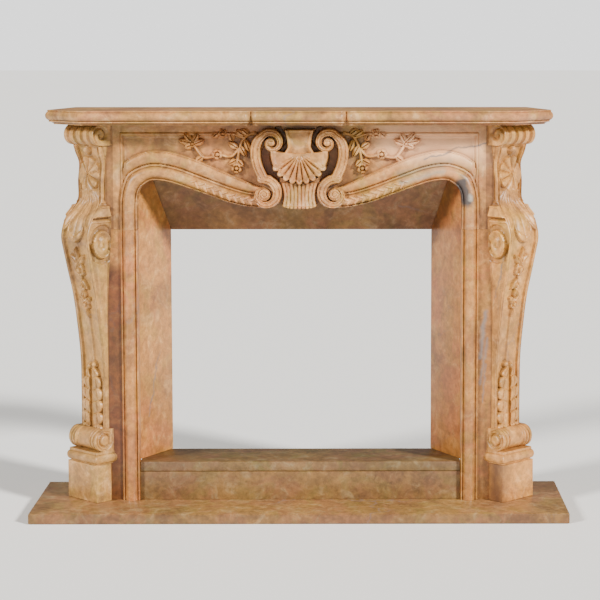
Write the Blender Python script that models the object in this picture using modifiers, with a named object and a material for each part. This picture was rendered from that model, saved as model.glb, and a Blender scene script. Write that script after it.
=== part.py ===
"""Carved stone fireplace mantel: hearth, moulded jambs, carved frieze, canted console legs and shelf.

Metres, +Z up. The front faces -Y and the wall is at +Y. The origin is at the middle of the underside.
"""

import math

import bmesh
import bpy
import numpy as np
from mathutils import Matrix

NAME = "fireplace_mantel"

# Joints and resolution
GAP = 0.0003
WELD = 0.00001
BED_REACH = 0.0015
FINE_STEP = 0.004
LEG_FACE_STEPS = 14
LEG_SIDE_STEPS = 4
BASE_LEVELS = 7
ROLL_LEVELS = 9
SHAFT_LEVELS = 38
LEDGE = 0.0006
FRIEZE_TRIANGLES = 4300

# Hearth and the surround as a whole
HEARTH_WIDTH = 1.58
HEARTH_DEPTH = 0.42
HEARTH_THICKNESS = 0.030
HEARTH_EDGE = 0.003
TOTAL_HEIGHT = 1.200
PANEL_SETBACK = 0.182
PANEL_THICKNESS = 0.035

# Mantel shelf
SHELF_WIDTH = 1.50
SHELF_THICKNESS = 0.043
SHELF_SETBACK = 0.075
SHELF_CANT = 0.110
SHELF_END_TAPER = 0.050
SHELF_TORUS = 0.014
SHELF_TOP_EDGE = 0.003
SHELF_FILLET = 0.007
SHELF_STEP = 0.023
SHELF_BREAK_X = 0.139
SHELF_BREAK_DEPTH = 0.018
SHELF_BREAK_REACH = 0.016

# Opening for the insert, lined by three splayed slips
INSERT_WIDTH = 0.796
INSERT_HEIGHT = 0.681
SLIP_SPLAY = 0.0845
SLIP_BACK = 0.050
SLIP_THICKNESS = 0.022
SLIP_HEAD_CLEARANCE = 0.0155
RISER_HEIGHT = 0.0855
RISER_THICKNESS = 0.040
RISER_SETBACK = 0.004
SILL_THICKNESS = 0.030
SILL_EDGE = 0.003

# Jambs and the arch moulding that carries on from them
JAMB_OPENING = 0.962
MOULDING_WIDTH = 0.051
JOINT_HEIGHT = 0.846
MOULDING_BEAD = 0.014
MOULDING_GROOVE = 0.009
MOULDING_TORUS = 0.024
MOULDING_OUTER_BEAD = 0.010
MOULDING_SAMPLES = 22
BEAD_MIDDLE_SHARE = 0.055
BEAD_END_SHARE = 0.12
TORUS_MIDDLE_SHARE = 0.47
TORUS_HALF_SHARE = 0.34
TORUS_END_SHARE = 0.82
OUTER_BEAD_MIDDLE_SHARE = 0.92
OUTER_BEAD_HALF_SHARE = 0.08

# Frieze: sunk field and carving, all as projection from the panel plane, where its stiles lie
FIELD_PROJECTION = -0.007
FIELD_SIDE = 0.520
FIELD_TOP_MARGIN = 0.034
FIELD_MOULDING = 0.012
FIELD_BEAD = 0.004
FIELD_BEAD_HALF_WIDTH = 0.003
OUTER_BAND = 0.016
OUTER_BAND_RIM = 0.003
OUTER_BAND_FADE = 0.030
OUTER_BAND_OVERLAP = 0.004
SCROLL_PROJECTION = 0.034
SCROLL_GROOVE = 0.004
SCROLL_EYE_RADIUS = 0.010
UPPER_SCROLL_HALF_WIDTH = 0.0155
LOWER_SCROLL_HALF_WIDTH = 0.0145
SCROLL_TIP_HALF_WIDTH = 0.0065
SHELL_PROJECTION = 0.040
SHELL_RADIUS = 0.090
SHELL_FLUTES = 11
SHELL_SPREAD = 190.0
SHELL_FLUTE_DEPTH = 0.006
NECK_HALF_WIDTH = 0.0345
NECK_ROLL = 0.006
PENDANT_HALF_WIDTH = 0.053
PENDANT_RIBS = 9
PENDANT_RIB_DEPTH = 0.005
PENDANT_PROJECTION = 0.026
FLOWER_RADIUS = 0.017
FLOWER_PROJECTION = 0.012
STEM_HALF_WIDTH = 0.0042
LEAF_HALF_WIDTH = 0.0085
HOLLOW_PROJECTION = -0.014
HOLLOW_HALF_WIDTH = 0.014
GARLAND_LEAVES = 9
GARLAND_LEAF_LENGTH = 0.017
GARLAND_LEAF_LEAN = 0.010
GARLAND_LEAF_HALF_WIDTH = 0.0045
GARLAND_LEAF_RELIEF = 0.006
GARLAND_BED = 0.001

# Legs: a plinth block and a console set at 45 degrees to the wall
LEG_CENTRE_X = 0.654
LEG_FACE_SETBACK = 0.180
PLINTH_WIDTH = 0.140
PLINTH_HEIGHT = 0.1125
BASE_HEIGHT = 0.0385
BASE_TORUS = 0.009
BASE_INSET = 0.006
BASE_TORUS_SHARE = 0.46
BASE_TORUS_HALF_SHARE = 0.24
BASE_FILLET_SHARE = 0.74
ROLL_RADIUS = 0.033
ROLL_WIDTH = 0.132
CAPITAL_RADIUS = 0.031
CAPITAL_WIDTH = 0.140
SHAFT_LOW_WIDTH = 0.114
SHAFT_LOW_SETBACK = 0.044
KNEE_WIDTH = 0.132
KNEE_PROJECTION = 0.018
KNEE_SHARE = 0.669
NECK_WIDTH = 0.110
NECK_SETBACK = 0.045
LEG_CHANNEL = 0.004
LEG_BORDER = 0.012
LEG_LEAF = 0.009
LEG_REED = 0.004
LEAF_SHARE = 0.23
HUSKS = ((0.47, 0.024), (0.535, 0.020), (0.60, 0.024))
KNEE_LEAF_LOW = 0.575
KNEE_LEAF_HIGH = 0.76
FAN_SHARE = 0.914
FAN_RADIUS = 0.034
LEG_OVAL = 0.005
OVAL_HALF_WIDTH = 0.036
OVAL_HALF_HEIGHT = 0.044
LEG_COLLAR = 0.006
COLLAR_RISE = 0.098
COLLAR_HALF = 0.014
PANEL_END_INSET = 0.078

# Cheeks back to the wall
CHEEK_THICKNESS = 0.035

# Worked-out places
HALF_DEPTH = HEARTH_DEPTH / 2
FRONT = -HALF_DEPTH
WALL = HALF_DEPTH
PANEL_Y = FRONT + PANEL_SETBACK
PANEL_BACK_Y = PANEL_Y + PANEL_THICKNESS
SHELF_UNDER = TOTAL_HEIGHT - SHELF_THICKNESS
SHELF_Y = FRONT + SHELF_SETBACK
ARCH_HALF = JAMB_OPENING / 2
FRIEZE_HEIGHT = SHELF_UNDER - JOINT_HEIGHT
LEG_CENTRE_Y = FRONT + LEG_FACE_SETBACK
PANEL_END_X = LEG_CENTRE_X - PANEL_END_INSET
CHEEK_FRONT_Y = LEG_CENTRE_Y + PANEL_END_INSET
CHEEK_OUTER_X = LEG_CENTRE_X + LEG_CENTRE_Y - PANEL_Y
SILL_TOP = HEARTH_THICKNESS + RISER_HEIGHT + SILL_THICKNESS
SLIP_BACK_Y = WALL - SLIP_BACK
SLIP_RISE = SHELF_UNDER - SLIP_HEAD_CLEARANCE - SLIP_THICKNESS - SILL_TOP - INSERT_HEIGHT
DIAGONAL = math.sqrt(0.5)

STONE = (0.56, 0.355, 0.20, 1.0)
STONE_ROUGHNESS = 0.42


def clear_scene():
    """Empty the scene."""
    for obj in list(bpy.data.objects):
        bpy.data.objects.remove(obj, do_unlink=True)


def stone_material(name, shade):
    """A satin stone, a little lighter or darker by shade."""
    material = bpy.data.materials.new(name)
    material.use_nodes = True
    shader = material.node_tree.nodes["Principled BSDF"]
    shader.inputs["Base Color"].default_value = tuple(c * shade for c in STONE[:3]) + (1.0,)
    shader.inputs["Roughness"].default_value = STONE_ROUGHNESS
    shader.inputs["Metallic"].default_value = 0.0
    return material


def add_node(collection, name, bm, shade=1.0, smooth_angle=None):
    """Turn a bmesh into one named stone piece."""
    bmesh.ops.recalc_face_normals(bm, faces=bm.faces)
    mesh = bpy.data.meshes.new(name)
    bm.to_mesh(mesh)
    bm.free()
    if smooth_angle:
        mesh.shade_smooth()
        mesh.set_sharp_from_angle(angle=math.radians(smooth_angle))
    obj = bpy.data.objects.new(name, mesh)
    obj.data.materials.append(stone_material(name + "_stone", shade))
    collection.objects.link(obj)
    return obj


def thin_out(obj, triangles, beds):
    """Reduce a fine carving to about so many triangles, then true the flat beds that meet other pieces.

    A bed is an axis, its place on that axis, and the lowest and highest corner of where it applies.
    """
    faces = sum(len(polygon.vertices) - 2 for polygon in obj.data.polygons)
    modifier = obj.modifiers.new("facets", "DECIMATE")
    modifier.ratio = min(1.0, triangles / faces)
    modifier.use_collapse_triangulate = True
    thinned = bpy.data.meshes.new_from_object(obj.evaluated_get(bpy.context.evaluated_depsgraph_get()))
    obj.modifiers.remove(modifier)
    obj.data = thinned
    for vert in thinned.vertices:
        for axis, place, low, high in beds:
            if all(a - BED_REACH <= c <= b + BED_REACH for a, c, b in zip(low, vert.co, high)):
                vert.co[axis] = place


def box_bmesh(low, high, edge=0.0):
    """A block between two corners, with its upper edges rounded off by edge."""
    bm = bmesh.new()
    bmesh.ops.create_cube(bm, size=1.0)
    for vert in bm.verts:
        for axis in range(3):
            vert.co[axis] = low[axis] if vert.co[axis] < 0 else high[axis]
    if edge:
        upper = [e for e in bm.edges if all(v.co.z > high[2] - edge for v in e.verts)]
        bmesh.ops.bevel(
            bm, geom=upper, offset=edge, segments=2, profile=0.5, affect="EDGES", material=-1
        )
    return bm


def prism_bmesh(outline, z_low, z_high):
    """An upright prism over a plan outline."""
    bm = bmesh.new()
    face = bm.faces.new([bm.verts.new((x, y, z_low)) for x, y in outline])
    raised = bmesh.ops.extrude_face_region(bm, geom=[face])["geom"]
    tops = [v for v in raised if isinstance(v, bmesh.types.BMVert)]
    bmesh.ops.translate(bm, verts=tops, vec=(0, 0, z_high - z_low))
    return bm


def loft_bmesh(rings):
    """A closed skin over rings of the same number of points, with flat ends."""
    bm = bmesh.new()
    rows = [[bm.verts.new(point) for point in ring] for ring in rings]
    count = len(rows[0])
    for lower, upper in zip(rows, rows[1:]):
        for i in range(count):
            j = (i + 1) % count
            bm.faces.new((lower[i], lower[j], upper[j], upper[i]))
    bm.faces.new(rows[0])
    bm.faces.new(rows[-1])
    return bm


def add_twin(collection, obj, name, shade):
    """The left-hand twin of a right-hand piece."""
    mesh = obj.data.copy()
    mesh.name = name
    mesh.transform(Matrix.Scale(-1, 4, (1, 0, 0)))
    mesh.flip_normals()
    mesh.materials.clear()
    mesh.materials.append(stone_material(name + "_stone", shade))
    twin = bpy.data.objects.new(name, mesh)
    collection.objects.link(twin)


def join_halves(obj):
    """Make the whole piece from its right half, which runs a little past the middle."""
    mirror = obj.modifiers.new("halves", "MIRROR")
    mirror.use_bisect_axis[0] = True
    mirror.merge_threshold = WELD
    mirror.bisect_threshold = WELD


def smooth_step(low, high, value):
    """0 below low, 1 above high, with a soft change between."""
    share = np.clip((value - low) / (high - low), 0.0, 1.0)
    return share * share * (3 - 2 * share)


def ridge(distance, half_width):
    """A half-round ridge, 1 on its line and 0 at its edges."""
    return np.sqrt(np.clip(1 - (distance / half_width) ** 2, 0.0, 1.0))


def curve_through(points, steps=8):
    """A smooth line through the points, by Catmull-Rom."""
    points = np.asarray(points, float)
    ends = np.vstack([2 * points[0] - points[1], points, 2 * points[-1] - points[-2]])
    line = []
    for a, b, c, d in zip(ends, ends[1:], ends[2:], ends[3:]):
        for t in np.linspace(0, 1, steps, endpoint=False):
            line.append(
                0.5 * (2 * b + (c - a) * t + (2 * a - 5 * b + 4 * c - d) * t**2
                       + (3 * b - a - 3 * c + d) * t**3)
            )
    line.append(points[-1])
    return np.array(line)


def spiral(centre, start_angle, start_radius, end_radius, turn, steps=40):
    """A scroll's line that winds in to its eye, angles in degrees."""
    share = np.linspace(0, 1, steps)
    angle = np.radians(start_angle + turn * share)
    radius = start_radius + (end_radius - start_radius) * share
    return np.stack([centre[0] + radius * np.cos(angle), centre[1] + radius * np.sin(angle)], 1)


def to_line(px, pz, line):
    """Distance from each point to a line, the share of its length there, and the nearest point."""
    lengths = np.hypot(*np.diff(line, axis=0).T)
    reached = np.concatenate([[0], np.cumsum(lengths)]) / lengths.sum()
    best = np.full(px.shape, 1e9)
    along = np.zeros(px.shape)
    near_x = np.zeros(px.shape)
    near_z = np.zeros(px.shape)
    for i, (start, end) in enumerate(zip(line, line[1:])):
        step = end - start
        t = ((px - start[0]) * step[0] + (pz - start[1]) * step[1]) / max(step @ step, 1e-12)
        t = np.clip(t, 0, 1)
        x = start[0] + t * step[0]
        z = start[1] + t * step[1]
        distance = np.hypot(px - x, pz - z)
        closer = distance < best
        best = np.where(closer, distance, best)
        along = np.where(closer, reached[i] + t * (reached[i + 1] - reached[i]), along)
        near_x = np.where(closer, x, near_x)
        near_z = np.where(closer, z, near_z)
    return best, along, near_x, near_z


def inside(px, pz, outline):
    """Whether each point is inside a closed outline."""
    found = np.zeros(px.shape, bool)
    for (x0, z0), (x1, z1) in zip(outline, np.roll(outline, -1, axis=0)):
        crosses = (z0 > pz) != (z1 > pz)
        rise = z1 - z0 if z1 != z0 else 1e-12
        found ^= crosses & (px < x0 + (pz - z0) * (x1 - x0) / rise)
    return found


def moulding_height(share):
    """Projection of the jamb and arch moulding at a share of its width, from its inner edge."""
    bead = ridge(share - BEAD_MIDDLE_SHARE, BEAD_MIDDLE_SHARE)
    inner = MOULDING_GROOVE + (MOULDING_BEAD - MOULDING_GROOVE) * bead
    swell = ridge(share - TORUS_MIDDLE_SHARE, TORUS_HALF_SHARE)
    torus = MOULDING_GROOVE + (MOULDING_TORUS - MOULDING_GROOVE) * swell
    outer = MOULDING_OUTER_BEAD * ridge(share - OUTER_BEAD_MIDDLE_SHARE, OUTER_BEAD_HALF_SHARE)
    return np.where(share < BEAD_END_SHARE, inner, np.where(share < TORUS_END_SHARE, torus, outer))


class FriezeDrawing:
    """The frieze's lines, drawn on the half width of the opening and the height of the frieze."""

    DRAWN_HALF = 0.481
    DRAWN_HEIGHT = 0.311
    WIDE = ARCH_HALF / DRAWN_HALF
    TALL = FRIEZE_HEIGHT / DRAWN_HEIGHT

    def place(self, points):
        """Drawn points, as metres from the middle line and above the joint, put on the frieze."""
        points = np.asarray(points, float)
        return np.stack([points[:, 0] * self.WIDE, JOINT_HEIGHT + points[:, 1] * self.TALL], 1)

    def __init__(self):
        jamb = self.DRAWN_HALF
        arch = [
            (jamb, 0.0), (jamb, 0.040), (0.4805, 0.075), (0.476, 0.113), (0.457, 0.1355),
            (0.4315, 0.1465), (0.386, 0.1415), (0.3285, 0.123), (0.271, 0.1025), (0.2135, 0.0815),
            (0.156, 0.0683), (0.110, 0.064),
        ]
        middle = [(0.0756, 0.070), (0.0585, 0.079), (0.046, 0.069), (0.022, 0.0635), (0.0, 0.062)]
        self.edge = curve_through(self.place(arch + middle), 6)
        self.inner = curve_through(self.place(arch), 6)
        outer_x = jamb + MOULDING_WIDTH
        self.second = curve_through(self.place([
            (outer_x, 0.0), (outer_x, 0.045), (0.5295, 0.100), (0.516, 0.1516), (0.497, 0.174),
            (0.4624, 0.1895), (0.4243, 0.1952), (0.3666, 0.1856), (0.3024, 0.1626),
            (0.2134, 0.129), (0.156, 0.112), (0.110, 0.106),
        ]), 6)
        self.outer = curve_through(self.place([
            (0.5197, 0.197), (0.4816, 0.2218), (0.4243, 0.2331), (0.3666, 0.2257),
            (0.3024, 0.2048), (0.2336, 0.1755), (0.1561, 0.1415), (0.110, 0.124),
        ]), 6)
        back = [(0.108, 0.154), (0.123, 0.187), (0.130, 0.224), (0.124, 0.259), (0.101, 0.284)]
        eye = self.place([(0.082, 0.257)])[0]
        top = self.place(back[-1:])[0] - eye
        self.upper_scroll = np.vstack([
            curve_through(self.place(back), 6)[:-1],
            spiral(eye, math.degrees(math.atan2(top[1], top[0])), math.hypot(*top), 0.007, 420),
        ])
        self.upper_eye = eye
        self.lower_eye = self.place([(0.104, 0.1045)])[0]
        self.lower_scroll = spiral(self.lower_eye, 80, 0.047, 0.009, 430)
        self.hinge = self.place([(0.0, 0.225)])[0]
        self.neck_top = self.place([(0.0, 0.297)])[0][1]
        self.pendant_top = self.place([(0.0, 0.133)])[0][1]
        self.pendant_foot = self.edge[-1][1]
        self.garland = curve_through(self.place([
            (0.318, 0.142), (0.250, 0.1165), (0.190, 0.096), (0.128, 0.084),
        ]), 6)
        self.stems = [curve_through(self.place(points), 5) for points in (
            [(0.130, 0.290), (0.165, 0.272), (0.180, 0.240), (0.186, 0.186)],
            [(0.165, 0.272), (0.195, 0.281), (0.222, 0.284)],
            [(0.181, 0.236), (0.205, 0.213), (0.238, 0.222)],
            [(0.252, 0.213), (0.285, 0.213), (0.312, 0.250)],
        )]
        self.flowers = self.place([(0.186, 0.181), (0.226, 0.285), (0.242, 0.222), (0.316, 0.256)])
        self.leaves = [self.place(points) for points in (
            [(0.316, 0.256), (0.350, 0.262)], [(0.316, 0.256), (0.335, 0.284)],
            [(0.316, 0.256), (0.300, 0.282)], [(0.285, 0.216), (0.305, 0.200)],
            [(0.160, 0.268), (0.148, 0.232)], [(0.178, 0.248), (0.160, 0.215)],
            [(0.182, 0.240), (0.206, 0.256)], [(0.205, 0.283), (0.196, 0.262)],
            [(0.185, 0.205), (0.168, 0.188)], [(0.186, 0.205), (0.206, 0.194)],
        )]


def leaf_height(px, pz, start, end, width, height):
    """One pointed leaf from start to end, with a sunk middle rib."""
    distance, along, _, _ = to_line(px, pz, np.array([start, end]))
    half = width * np.sin(np.pi * np.clip(along, 0.04, 0.96)) ** 0.7
    rib = 1 - 0.35 * ridge(distance, 0.0018)
    return height * ridge(distance, half) * rib


def shell_height(px, pz, drawing):
    """The fluted fan, its neck and the ribbed pendant below it. -1 where there is none."""
    dx = px / (drawing.WIDE * SHELL_RADIUS)
    dz = (drawing.hinge[1] - pz) / (drawing.TALL * SHELL_RADIUS)
    radius = np.hypot(dx, dz)
    angle = np.degrees(np.arctan2(dx, dz))
    phase = (angle + SHELL_SPREAD / 2) / SHELL_SPREAD * SHELL_FLUTES
    wave = np.abs(np.sin(np.pi * phase))
    rim = 0.93 + 0.09 * wave
    fan = (radius < rim) & (np.abs(angle) < SHELL_SPREAD / 2)
    dome = 0.62 + 0.38 * np.sin(np.pi * np.clip(radius / rim, 0, 1) ** 0.9 * 0.86)
    flutes = SHELL_FLUTE_DEPTH * (wave - 0.6) * smooth_step(0.12, 0.5, radius)
    height = np.where(fan, SHELL_PROJECTION * dome + flutes, -1.0)
    share = (pz - drawing.hinge[1]) / (drawing.neck_top - drawing.hinge[1])
    half = drawing.WIDE * (NECK_HALF_WIDTH + 0.016 * np.clip(share - 0.35, 0, 1) ** 1.4
                           + 0.05 * np.clip(0.30 - share, 0, 1) ** 1.3)
    neck = (np.abs(px) < half) & (share > -0.05) & (share < 1.0)
    roll = NECK_ROLL * ridge(np.abs(px) - half + NECK_ROLL, NECK_ROLL)
    height = np.where(neck, np.maximum(height, 0.75 * SHELL_PROJECTION + roll), height)
    fall = (drawing.pendant_top - pz) / (drawing.pendant_top - drawing.pendant_foot)
    wide = drawing.WIDE * PENDANT_HALF_WIDTH * (1 - 0.10 * np.sin(np.pi * np.clip(fall, 0, 1)))
    ribs = np.abs(np.sin(np.pi * PENDANT_RIBS * (px / (2 * wide) + 0.5)))
    bell = PENDANT_PROJECTION * (0.72 + 0.28 * np.clip(fall, 0, 1) ** 2)
    bell = bell + PENDANT_RIB_DEPTH * (ribs - 0.5)
    pendant = (np.abs(px) < wide) & (fall > -0.1) & (fall < 1.2)
    return np.maximum(height, np.where(pendant, bell, -1.0))


def scroll_height(px, pz, line, eye, thick):
    """A raised scroll band with a sunk middle line, ending in a round eye. -1 where there is none."""
    distance, along, _, _ = to_line(px, pz, line)
    half = thick + (SCROLL_TIP_HALF_WIDTH - thick) * smooth_step(0.35, 1.0, along)
    body = SCROLL_PROJECTION * (0.62 + 0.38 * ridge(distance, half))
    groove = SCROLL_GROOVE * ridge(distance, 0.30 * half)
    height = np.where(distance < half, body - groove, -1.0)
    away = np.hypot(px - eye[0], pz - eye[1])
    boss = SCROLL_PROJECTION * (0.55 + 0.40 * ridge(away, SCROLL_EYE_RADIUS))
    return np.where(away < SCROLL_EYE_RADIUS, np.maximum(height, boss), height)


def frieze_height(px, pz, drawing):
    """Projection of the carved frieze from the panel plane. It is the same on both sides."""
    px = np.abs(px)
    side = FIELD_SIDE * drawing.WIDE - px
    top = SHELF_UNDER - FIELD_TOP_MARGIN * drawing.TALL - pz
    into = np.minimum(side, top)
    bead = FIELD_BEAD * ridge(into - FIELD_BEAD / 2, FIELD_BEAD_HALF_WIDTH)
    height = bead + FIELD_PROJECTION * smooth_step(FIELD_BEAD, FIELD_MOULDING, into)
    inner, _, _, _ = to_line(px, pz, drawing.inner)
    second, _, _, _ = to_line(px, pz, drawing.second)
    outer, _, _, _ = to_line(px, pz, drawing.outer)
    lower_band = inside(px, pz, np.vstack([drawing.inner, drawing.second[::-1]]))
    upper_band = inside(px, pz, np.vstack([drawing.second, drawing.outer[::-1]]))
    share = second / np.maximum(outer + second, 1e-9)
    band = MOULDING_OUTER_BEAD + (OUTER_BAND - MOULDING_OUTER_BEAD) * np.sin(np.pi * share * 0.75)
    band = band + OUTER_BAND_RIM * ridge(outer - OUTER_BAND_RIM, OUTER_BAND_RIM)
    band_end = FIELD_SIDE * drawing.WIDE + OUTER_BAND_OVERLAP
    fade = smooth_step(0.0, OUTER_BAND_FADE, band_end - px)
    height = np.where(upper_band & (px < band_end), band * fade, height)
    width_share = inner / np.maximum(inner + second, 1e-9)
    height = np.where(lower_band, moulding_height(width_share), height)
    below = pz < drawing.pendant_top + 0.02
    height = np.where((px < 0.110 * drawing.WIDE) & below & ~lower_band, MOULDING_GROOVE, height)
    for stem in drawing.stems:
        distance, _, _, _ = to_line(px, pz, stem)
        height = np.maximum(height, FIELD_PROJECTION + FLOWER_PROJECTION * ridge(distance, STEM_HALF_WIDTH))
    for start, end in drawing.leaves:
        leaf = leaf_height(px, pz, start, end, LEAF_HALF_WIDTH, 1.15 * FLOWER_PROJECTION)
        height = np.maximum(height, FIELD_PROJECTION + leaf)
    for x, z in drawing.flowers:
        away = np.hypot(px - x, pz - z)
        petals = 0.80 + 0.20 * np.cos(5 * np.arctan2(pz - z, px - x))
        dome = ridge(away, FLOWER_RADIUS * petals) * (1 - 0.3 * ridge(away - 0.006, 0.002))
        height = np.maximum(height, FIELD_PROJECTION + 1.25 * FLOWER_PROJECTION * dome)
    upper = scroll_height(px, pz, drawing.upper_scroll, drawing.upper_eye, UPPER_SCROLL_HALF_WIDTH)
    lower = scroll_height(px, pz, drawing.lower_scroll, drawing.lower_eye, LOWER_SCROLL_HALF_WIDTH)
    height = np.maximum(height, np.maximum(upper, lower))
    shell = shell_height(px, pz, drawing)
    hollow_line = curve_through(drawing.place([(0.062, 0.292), (0.052, 0.262), (0.096, 0.235),
                                               (0.098, 0.190), (0.070, 0.152)]), 5)
    hollow, _, _, _ = to_line(px, pz, hollow_line)
    sunk = (hollow < HOLLOW_HALF_WIDTH) & (upper < 0) & (shell < 0)
    height = np.where(sunk, HOLLOW_PROJECTION, height)
    height = np.maximum(height, shell)
    return garland_height(px, pz, height, drawing)


def garland_height(px, pz, height, drawing):
    """Slanting husk leaves laid along the lower band."""
    line = drawing.garland
    count = 2 * GARLAND_LEAVES
    for i in range(count):
        here = line[int(i / count * (len(line) - 2))]
        ahead = line[int(i / count * (len(line) - 2)) + 1]
        run = (ahead - here) / np.hypot(*(ahead - here))
        across = np.array([-run[1], run[0]]) * (1 if i % 2 else -1)
        tip = here + GARLAND_LEAF_LENGTH * run + GARLAND_LEAF_LEAN * across
        leaf = leaf_height(px, pz, here, tip, GARLAND_LEAF_HALF_WIDTH, GARLAND_LEAF_RELIEF)
        height = np.maximum(height, np.where(leaf > 0, MOULDING_TORUS - GARLAND_BED + leaf, -1.0))
    return height


def frieze_bmesh():
    """Right half of the carved lintel: a carved front, cut to the arch, and a flat back."""
    drawing = FriezeDrawing()
    low, high = JOINT_HEIGHT + GAP, SHELF_UNDER - GAP
    start, end = -FINE_STEP, PANEL_END_X - GAP
    columns = round((end - start) / FINE_STEP)
    rows = round((high - low) / FINE_STEP)
    bm = bmesh.new()
    bmesh.ops.create_grid(bm, x_segments=columns, y_segments=rows, size=0.5)
    for vert in bm.verts:
        x, z = start + (vert.co.x + 0.5) * (end - start), low + (vert.co.y + 0.5) * (high - low)
        vert.co = (x, 0.0, z)
    edge = drawing.edge.copy()
    opening = np.vstack([edge, [(start, edge[-1][1]), (start, 0.0), (edge[0][0], 0.0)]])
    centres = np.array([face.calc_center_median() for face in bm.faces])
    outside = inside(centres[:, 0], centres[:, 2], opening)
    cut = [face for face, gone in zip(list(bm.faces), outside) if gone]
    bmesh.ops.delete(bm, geom=cut, context="FACES")
    rim = [v for v in bm.verts if v.is_boundary and 0 <= v.co.x < ARCH_HALF + 2 * FINE_STEP
           and v.co.z < high - FINE_STEP]
    x = np.array([v.co.x for v in rim])
    z = np.array([v.co.z for v in rim])
    distance, _, near_x, near_z = to_line(x, z, edge)
    for vert, away, to_x, to_z in zip(rim, distance, near_x, near_z):
        on_joint = abs(vert.co.z - low) < GAP
        if away < 1.5 * FINE_STEP:
            vert.co.x = max(to_x, 0.0) if vert.co.x > 0 else 0.0
            vert.co.z = low if on_joint else max(to_z, low)
    bmesh.ops.remove_doubles(bm, verts=bm.verts, dist=GAP)
    x = np.array([v.co.x for v in bm.verts])
    z = np.array([v.co.z for v in bm.verts])
    for vert, height in zip(bm.verts, frieze_height(x, z, drawing)):
        vert.co.y = PANEL_Y - height
    close_back(bm, PANEL_BACK_Y)
    return bm


def close_back(bm, y):
    """Carry an open front's border straight back to a flat face at y."""
    bm.verts.index_update()
    first = min((v for v in bm.verts if v.is_boundary), key=lambda v: v.index)
    border = [first]
    while True:
        here = border[-1]
        ways = sorted((e.other_vert(here) for e in here.link_edges if e.is_boundary),
                      key=lambda v: v.index)
        onward = [v for v in ways if len(border) < 2 or v is not border[-2]][0]
        if onward is first:
            break
        border.append(onward)
    behind = [bm.verts.new((v.co.x, y, v.co.z)) for v in border]
    for i, vert in enumerate(border):
        j = (i + 1) % len(border)
        bm.faces.new((vert, border[j], behind[j], behind[i]))
    bm.faces.new(behind)


def jamb_bmesh():
    """A jamb's moulding and the plain panel that runs on behind the leg."""
    shares = np.linspace(0, 1, MOULDING_SAMPLES)
    front = [(ARCH_HALF + MOULDING_WIDTH * s, PANEL_Y - float(moulding_height(s))) for s in shares]
    outline = [(ARCH_HALF, PANEL_BACK_Y)] + front
    outline += [(ARCH_HALF + MOULDING_WIDTH, PANEL_Y), (PANEL_END_X - GAP, PANEL_Y),
                (PANEL_END_X - GAP, PANEL_BACK_Y)]
    return prism_bmesh(outline, HEARTH_THICKNESS + GAP, JOINT_HEIGHT - GAP)


def shelf_profile():
    """Inset from the nose and height, from the top edge down to the underside."""
    top = TOTAL_HEIGHT
    crown = [(SHELF_TORUS * 0.6, top), (SHELF_TORUS * 0.6 - SHELF_TOP_EDGE, top - SHELF_TOP_EDGE)]
    middle = top - SHELF_TOP_EDGE - SHELF_TORUS
    points = list(crown)
    for angle in np.radians(np.linspace(60, -90, 7)):
        points.append((SHELF_TORUS * (1 - math.cos(angle)), middle + SHELF_TORUS * math.sin(angle)))
    step_one = SHELF_UNDER + 2 * (SHELF_THICKNESS - SHELF_TOP_EDGE - 2 * SHELF_TORUS) / 3
    step_two = SHELF_UNDER + (SHELF_THICKNESS - SHELF_TOP_EDGE - 2 * SHELF_TORUS) / 3
    points.append((SHELF_STEP, middle - SHELF_TORUS))
    points.append((SHELF_STEP + 0.2 * SHELF_FILLET, step_one - 0.2 * SHELF_FILLET))
    points.append((2 * SHELF_STEP - SHELF_FILLET, step_two))
    points.append((2 * SHELF_STEP, step_two))
    points.append((2 * SHELF_STEP, SHELF_UNDER))
    return points


def shelf_plan():
    """Right half of the shelf's plan from the wall to the middle, each with its way inwards."""
    half = SHELF_WIDTH / 2
    corner = math.tan(math.radians(22.5))
    points = [((half - SHELF_END_TAPER, WALL), (-1.0, 0.0)),
              ((half, SHELF_Y + SHELF_CANT), (-1.0, corner)),
              ((half - SHELF_CANT, SHELF_Y), (-corner, 1.0))]
    for share in (1.0, 0.55, 0.22, 0.0, -0.22, -0.55, -1.0):
        depth = SHELF_BREAK_DEPTH * (1 - abs(share)) ** 1.7
        points.append(((SHELF_BREAK_X + share * SHELF_BREAK_REACH, SHELF_Y + depth), (0.0, 1.0)))
    return points


def shelf_bmesh():
    """The mantel shelf: its moulded edge swept round the plan, with two breaks in the front."""
    right = shelf_plan()
    left = [((-x, y), (-inward[0], inward[1])) for (x, y), inward in reversed(right)]
    plan = right + left
    rings = []
    for inset, z in reversed(shelf_profile()):
        rings.append([(x + inset * way[0], y + inset * way[1], z) for (x, y), way in plan])
    return loft_bmesh(rings)


def slip_section(y, offset):
    """Half width and height of the splayed lining at y, moved out by offset."""
    share = (SLIP_BACK_Y - y) / (SLIP_BACK_Y - PANEL_BACK_Y)
    half = INSERT_WIDTH / 2 + SLIP_SPLAY * share
    return half + offset, SILL_TOP + INSERT_HEIGHT + SLIP_RISE * share + offset


def side_slip_bmesh():
    """One side of the splayed lining, mitred at its top, standing on the sill."""
    rings = []
    for y in (PANEL_BACK_Y + GAP, SLIP_BACK_Y):
        near_x, near_z = slip_section(y, GAP)
        far_x, far_z = slip_section(y, SLIP_THICKNESS)
        foot = SILL_TOP + GAP
        rings.append([(near_x, y, foot), (far_x, y, foot), (far_x, y, far_z - GAP),
                      (near_x, y, near_z - GAP)])
    return loft_bmesh(rings)


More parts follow.
